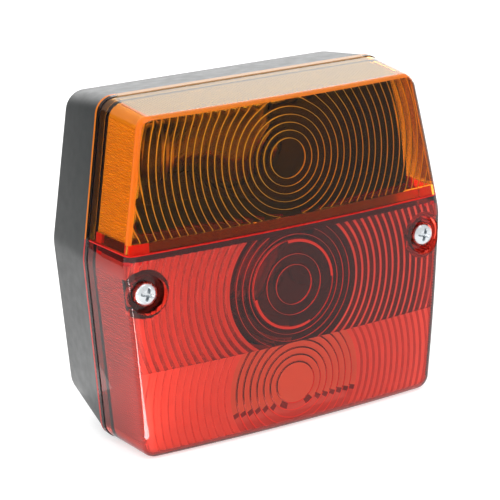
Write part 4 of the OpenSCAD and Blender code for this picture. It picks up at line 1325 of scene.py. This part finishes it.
def tail_envelope_rows(fit, z):
    """Rows of the tail bulb's outside and inside: a tube rounded at both ends, and the same
    drawn in by the glass wall."""
    low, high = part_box("tail_glass")
    half = (high[0] - low[0]) / 2
    r = (high[2] - low[2]) / 2
    wall, bend = fit.glass_wall, TUBE_BEND
    w = np.radians(np.linspace(0, 90, 8))
    end = np.stack([half - bend + bend * np.sin(w), r - bend + bend * np.cos(w)], 1)
    end = np.concatenate([end, [[half, 0]]])
    outer = np.concatenate([end[::-1] * [-1, 1], end])
    inner = outer * [(half - wall) / half, (r - wall) / r]
    return (turned_rows(outer, (0, -fit.bulb_y, z), 48, "x"),
            turned_rows(inner[::-1], (0, -fit.bulb_y, z), 48, "x"))


def tube_rows(path, radius, sides=8):
    """Rows of a tube along a path: circles square to the path's direction."""
    d = np.gradient(path, axis=0)
    d /= np.linalg.norm(d, axis=1)[:, None]
    across = np.cross(d, ASKEW)
    across /= np.linalg.norm(across, axis=1)[:, None]
    up = np.cross(across, d)
    w = np.linspace(0, 2 * math.pi, sides, endpoint=False)
    ring = across[:, None] * np.cos(w)[None, :, None] + up[:, None] * np.sin(w)[None, :, None]
    return path[:, None] + ring * radius


def filament_mesh(fit, z, feet):
    """A coiled filament across the bulb and its two leads down to the feet: a helix along Z,
    each of whose ends has a straight lead to its foot."""
    skin = Skin()
    t = np.linspace(0, 1, COIL_TURNS * 14)
    w = 2 * math.pi * COIL_TURNS * t
    helix = np.stack([COIL_R * np.cos(w), COIL_R * np.sin(w) - fit.bulb_y,
                      z + COIL_SPAN * (t - 0.5)], 1)
    skin.grid(tube_rows(helix, WIRE_R, 6), closed=True)
    t = np.linspace(0, 1, 12)[:, None]
    for side in (-1, 1):
        start = np.array([0.0, -fit.bulb_y, z + side * COIL_SPAN / 2])
        lead = start * (1 - t) + np.array([feet, -fit.bulb_y, z + side * FOOT_GAP]) * t
        skin.grid(tube_rows(lead, LEAD_R), closed=True)
    return skin.mesh("wire")


class LAMP_OT_bulbs(bpy.types.Operator):
    """Makes the bulbs' hollow glass and their filaments"""
    bl_idname = "lamp.bulbs"
    bl_label = "Make the bulbs"

    def execute(self, context):
        fit = context.scene.fitting_sizes
        for name in ("indicator", "stop"):
            low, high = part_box(f"{name}_glass")
            z = (low[2] + high[2]) / 2
            piece(f"{name}_bulb_glass", closed_mesh("glass", envelope_rows(fit, z)),
                  [FINISH["bulb"]], [f"{name}_glass"])
            piece(f"{name}_filament", filament_mesh(fit, z, low[0] + FOOT_IN),
                  [FINISH["tungsten"]])
        low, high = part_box("tail_glass")
        skin = Skin()
        for rows in tail_envelope_rows(fit, (low[2] + high[2]) / 2):
            skin.grid(rows, closed=True)
        piece("tail_bulb_glass", skin.mesh("glass"), [FINISH["bulb"]],
              ["tail_glass"])
        return {"FINISHED"}


class StageSettings(bpy.types.PropertyGroup):
    """The camera's place and the light of the stage."""
    turn: bpy.props.FloatProperty(name="Turn", description="Camera's turn about Z, to its left",
                                  default=math.radians(30.51), subtype="ANGLE")
    tilt: bpy.props.FloatProperty(name="Tilt", description="How far the camera looks down",
                                  default=math.radians(16.68), subtype="ANGLE")
    roll: bpy.props.FloatProperty(name="Roll", description="Camera's roll about its view",
                                  default=math.radians(-2.3), subtype="ANGLE")
    place: bpy.props.FloatVectorProperty(name="Camera", description="Place of the camera",
                                         default=(-0.2874, -0.5105, 0.1684), unit="LENGTH")
    lens: bpy.props.FloatProperty(name="Lens", description="Focal length in millimetres",
                                  default=146.86, unit="CAMERA")
    world: bpy.props.FloatProperty(name="World light", description="Strength of the even light",
                                   default=0.75)


def area_lamp(name, place, target, width, height, power):
    """A rectangular soft box that looks at the target, unseen by the camera."""
    light = bpy.data.lights.new(name, "AREA")
    light.shape = "RECTANGLE"
    light.size = width
    light.size_y = height
    light.energy = power
    obj = bpy.data.objects.new(name, light)
    obj.location = place
    obj.rotation_euler = (Vector(target) - Vector(place)).to_track_quat("-Z", "Y").to_euler()
    obj.visible_camera = False
    bpy.context.scene.collection.objects.link(obj)
    return obj


def floor_lamp(name, place, turn, length, width, power):
    """A strip lamp that lies on the floor and shines up, turned by an angle in degrees."""
    obj = area_lamp(name, place, (0, 0, 1), length, width, power)
    obj.rotation_euler = (math.pi, 0, math.radians(turn))


def flat_sheet(name, finish, half_x, half_y, place, surface):
    """A flat sheet of the stage, laid by a matrix. finish names its material, whose shader
    comes from surface(tree)."""
    mesh = bpy.data.meshes.new(name)
    mesh.from_pydata([(-half_x, -half_y, 0), (half_x, -half_y, 0), (half_x, half_y, 0),
                      (-half_x, half_y, 0)], [], [(0, 1, 2, 3)])
    obj = bpy.data.objects.new(name, mesh)
    obj.matrix_world = place
    bpy.context.scene.collection.objects.link(obj)
    material = bpy.data.materials.new(finish)
    material.use_nodes = True
    tree = material.node_tree
    tree.nodes.clear()
    add(tree, "ShaderNodeOutputMaterial", {"Surface": surface(tree)})
    mesh.materials.append(material)
    obj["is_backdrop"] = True
    return obj


# Soft boxes: name, place, target, width, height, and power in watts
SOFT_BOXES = (
    ("left_box", (-0.9, -0.35, 0.45), (0, -0.02, 0), 0.7, 0.7, 3),
    ("top_box", (-0.1, -0.3, 1.0), (0, -0.02, 0), 0.9, 0.7, 6),
    ("rear_box", (0.55, 0.95, 0.4), (0, 0, 0.03), 1.4, 0.7, 5),
    ("right_box", (0.8, 0.25, 0.25), (0, -0.02, 0), 0.5, 0.5, 5),
)
# Strips on the floor: name, place, turn in degrees, length, width, and power in watts
FLOOR_STRIPS = (
    ("low_strip", (-0.084, 0.066, -0.047), 113, 0.13, 0.028, 0.012),
    ("edge_strip", (-0.1275, -0.0914, -0.047), 30, 0.17, 0.012, 0.09),
)
# Half side of the floor and strength of its glow
FLOOR_HALF, FLOOR_GLOW = 4.0, 0.6
# Half sides of the card, its place and what it faces
CARD_HALVES = (0.17, 0.12)
CARD_PLACE, CARD_TARGET = Vector((-0.26, 0.36, 0.08)), Vector((0, 0, 0.08))


class LAMP_OT_stage(bpy.types.Operator):
    """Sets the floor, the soft light and the camera"""
    bl_idname = "lamp.stage"
    bl_label = "Set the stage"

    def execute(self, context):
        scene, settings = context.scene, context.scene.stage_settings
        scene.view_settings.view_transform = "Standard"
        self.make_world(scene, settings)
        self.make_floor()
        for box in SOFT_BOXES:
            area_lamp(*box)
        for strip in FLOOR_STRIPS:
            floor_lamp(*strip)
        self.make_card()
        self.make_camera(scene, settings)
        return {"FINISHED"}

    def seen(self, tree):
        """One for rays from the camera, a reflection or glass, and nought for all others."""
        ray = add(tree, "ShaderNodeLightPath")
        mirror = add(tree, "ShaderNodeMath", {0: ray.outputs["Is Camera Ray"],
                                              1: ray.outputs["Is Glossy Ray"]},
                     operation="MAXIMUM")
        return add(tree, "ShaderNodeMath", {0: mirror.outputs[0],
                                            1: ray.outputs["Is Transmission Ray"]},
                   operation="MAXIMUM").outputs[0]

    def make_world(self, scene, settings):
        """An even light, white to the camera, to reflections and through glass."""
        world = bpy.data.worlds.new("soft_light")
        world.use_nodes = True
        tree = world.node_tree
        tree.nodes.clear()
        seen = self.seen(tree)
        even = add(tree, "ShaderNodeBackground", {"Strength": settings.world})
        white = add(tree, "ShaderNodeBackground", {"Color": (1, 1, 1, 1), "Strength": 1.0})
        even.inputs["Color"].default_value = (1, 1, 1, 1)
        both = add(tree, "ShaderNodeMixShader", {0: seen, 1: even.outputs[0],
                                                 2: white.outputs[0]})
        add(tree, "ShaderNodeOutputWorld", {"Surface": both.outputs[0]})
        scene.world = world

    def make_card(self):
        """A grey card behind the lamp on the left, which keeps the left walls dark. Only
        reflections and glass show it."""
        def paper(tree):
            """Matt grey paper."""
            return add(tree, "ShaderNodeBsdfDiffuse", {"Color": srgb("#707070")}).outputs[0]

        turn = (CARD_TARGET - CARD_PLACE).to_track_quat("Z", "Y").to_matrix().to_4x4()
        card = flat_sheet("grey_card", "grey_card", *CARD_HALVES,
                          Matrix.Translation(CARD_PLACE) @ turn, paper)
        card.visible_camera = False

    def make_floor(self):
        """A wide floor of pale matt paint under the lamp's lowest point. It is white to the
        camera, to reflections and through glass, and a soft grey to all other light."""
        def paint(tree):
            """Matt paint, to which a glow is added for the rays that seen() picks."""
            matt = add(tree, "ShaderNodeBsdfDiffuse", {"Color": srgb("#c0c0c0")})
            glow = add(tree, "ShaderNodeEmission", {"Color": (1, 1, 1, 1),
                                                    "Strength": FLOOR_GLOW})
            lit = add(tree, "ShaderNodeAddShader", {0: matt.outputs[0], 1: glow.outputs[0]})
            return add(tree, "ShaderNodeMixShader", {0: self.seen(tree), 1: matt.outputs[0],
                                                     2: lit.outputs[0]}).outputs[0]

        low = Matrix.Translation((0, 0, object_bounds()[0][2]))
        flat_sheet("floor", "pale_floor", FLOOR_HALF, FLOOR_HALF, low, paint)

    def make_camera(self, scene, settings):
        """The camera looks along the lamp's depth, turned about Z, then tilted, then rolled."""
        data = bpy.data.cameras.new("camera")
        data.sensor_width = 36
        data.lens = settings.lens
        camera = bpy.data.objects.new("camera", data)
        upright = Matrix.Rotation(math.pi / 2, 4, "X")
        turn = Matrix.Rotation(-settings.turn, 4, "Z")
        tilt = Matrix.Rotation(-settings.tilt, 4, "X")
        roll = Matrix.Rotation(settings.roll, 4, "Z")
        camera.matrix_world = (Matrix.Translation(settings.place) @ turn @ upright @ tilt @ roll)
        scene.collection.objects.link(camera)
        scene.camera = camera


class LAMP_PT_panel(bpy.types.Panel):
    """Sizes and steps of the lamp"""
    bl_idname = "LAMP_PT_panel"
    bl_label = "Rear lamp"
    bl_space_type = "VIEW_3D"
    bl_region_type = "UI"
    bl_category = "Lamp"

    def draw(self, context):
        layout = self.layout
        for step in STEPS:
            layout.operator(step.bl_idname)
        for group in SETTINGS.values():
            box = layout.box()
            values = getattr(context.scene, group)
            for name in values.__annotations__:
                box.prop(values, name)


SETTINGS = {LensSizes: "lens_sizes", RingSizes: "ring_sizes", FittingSizes: "fitting_sizes",
            LampColours: "lamp_colours", StageSettings: "stage_settings"}
STEPS = (LAMP_OT_stage, LAMP_OT_kept_nodes, LAMP_OT_lens, LAMP_OT_base, LAMP_OT_fasteners,
         LAMP_OT_bulbs)


def register():
    """Registers the settings, the steps and the panel."""
    for group, name in SETTINGS.items():
        bpy.utils.register_class(group)
        setattr(bpy.types.Scene, name, bpy.props.PointerProperty(type=group))
    for item in (*STEPS, LAMP_PT_panel):
        bpy.utils.register_class(item)


def unregister():
    """Takes them away again, in the opposite order."""
    for item in (LAMP_PT_panel, *reversed(STEPS)):
        bpy.utils.unregister_class(item)
    for group, name in reversed(SETTINGS.items()):
        delattr(bpy.types.Scene, name)
        bpy.utils.unregister_class(group)


def main():
    """Registers the add-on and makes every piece."""
    register()
    colours = bpy.context.scene.lamp_colours
    for finishes in (amber_finishes, red_finishes, fitting_finishes):
        FINISH.update(finishes(colours))
    for step in STEPS:
        space, name = step.bl_idname.split(".")
        getattr(getattr(bpy.ops, space), name)()


if __name__ == "__main__":
    main()
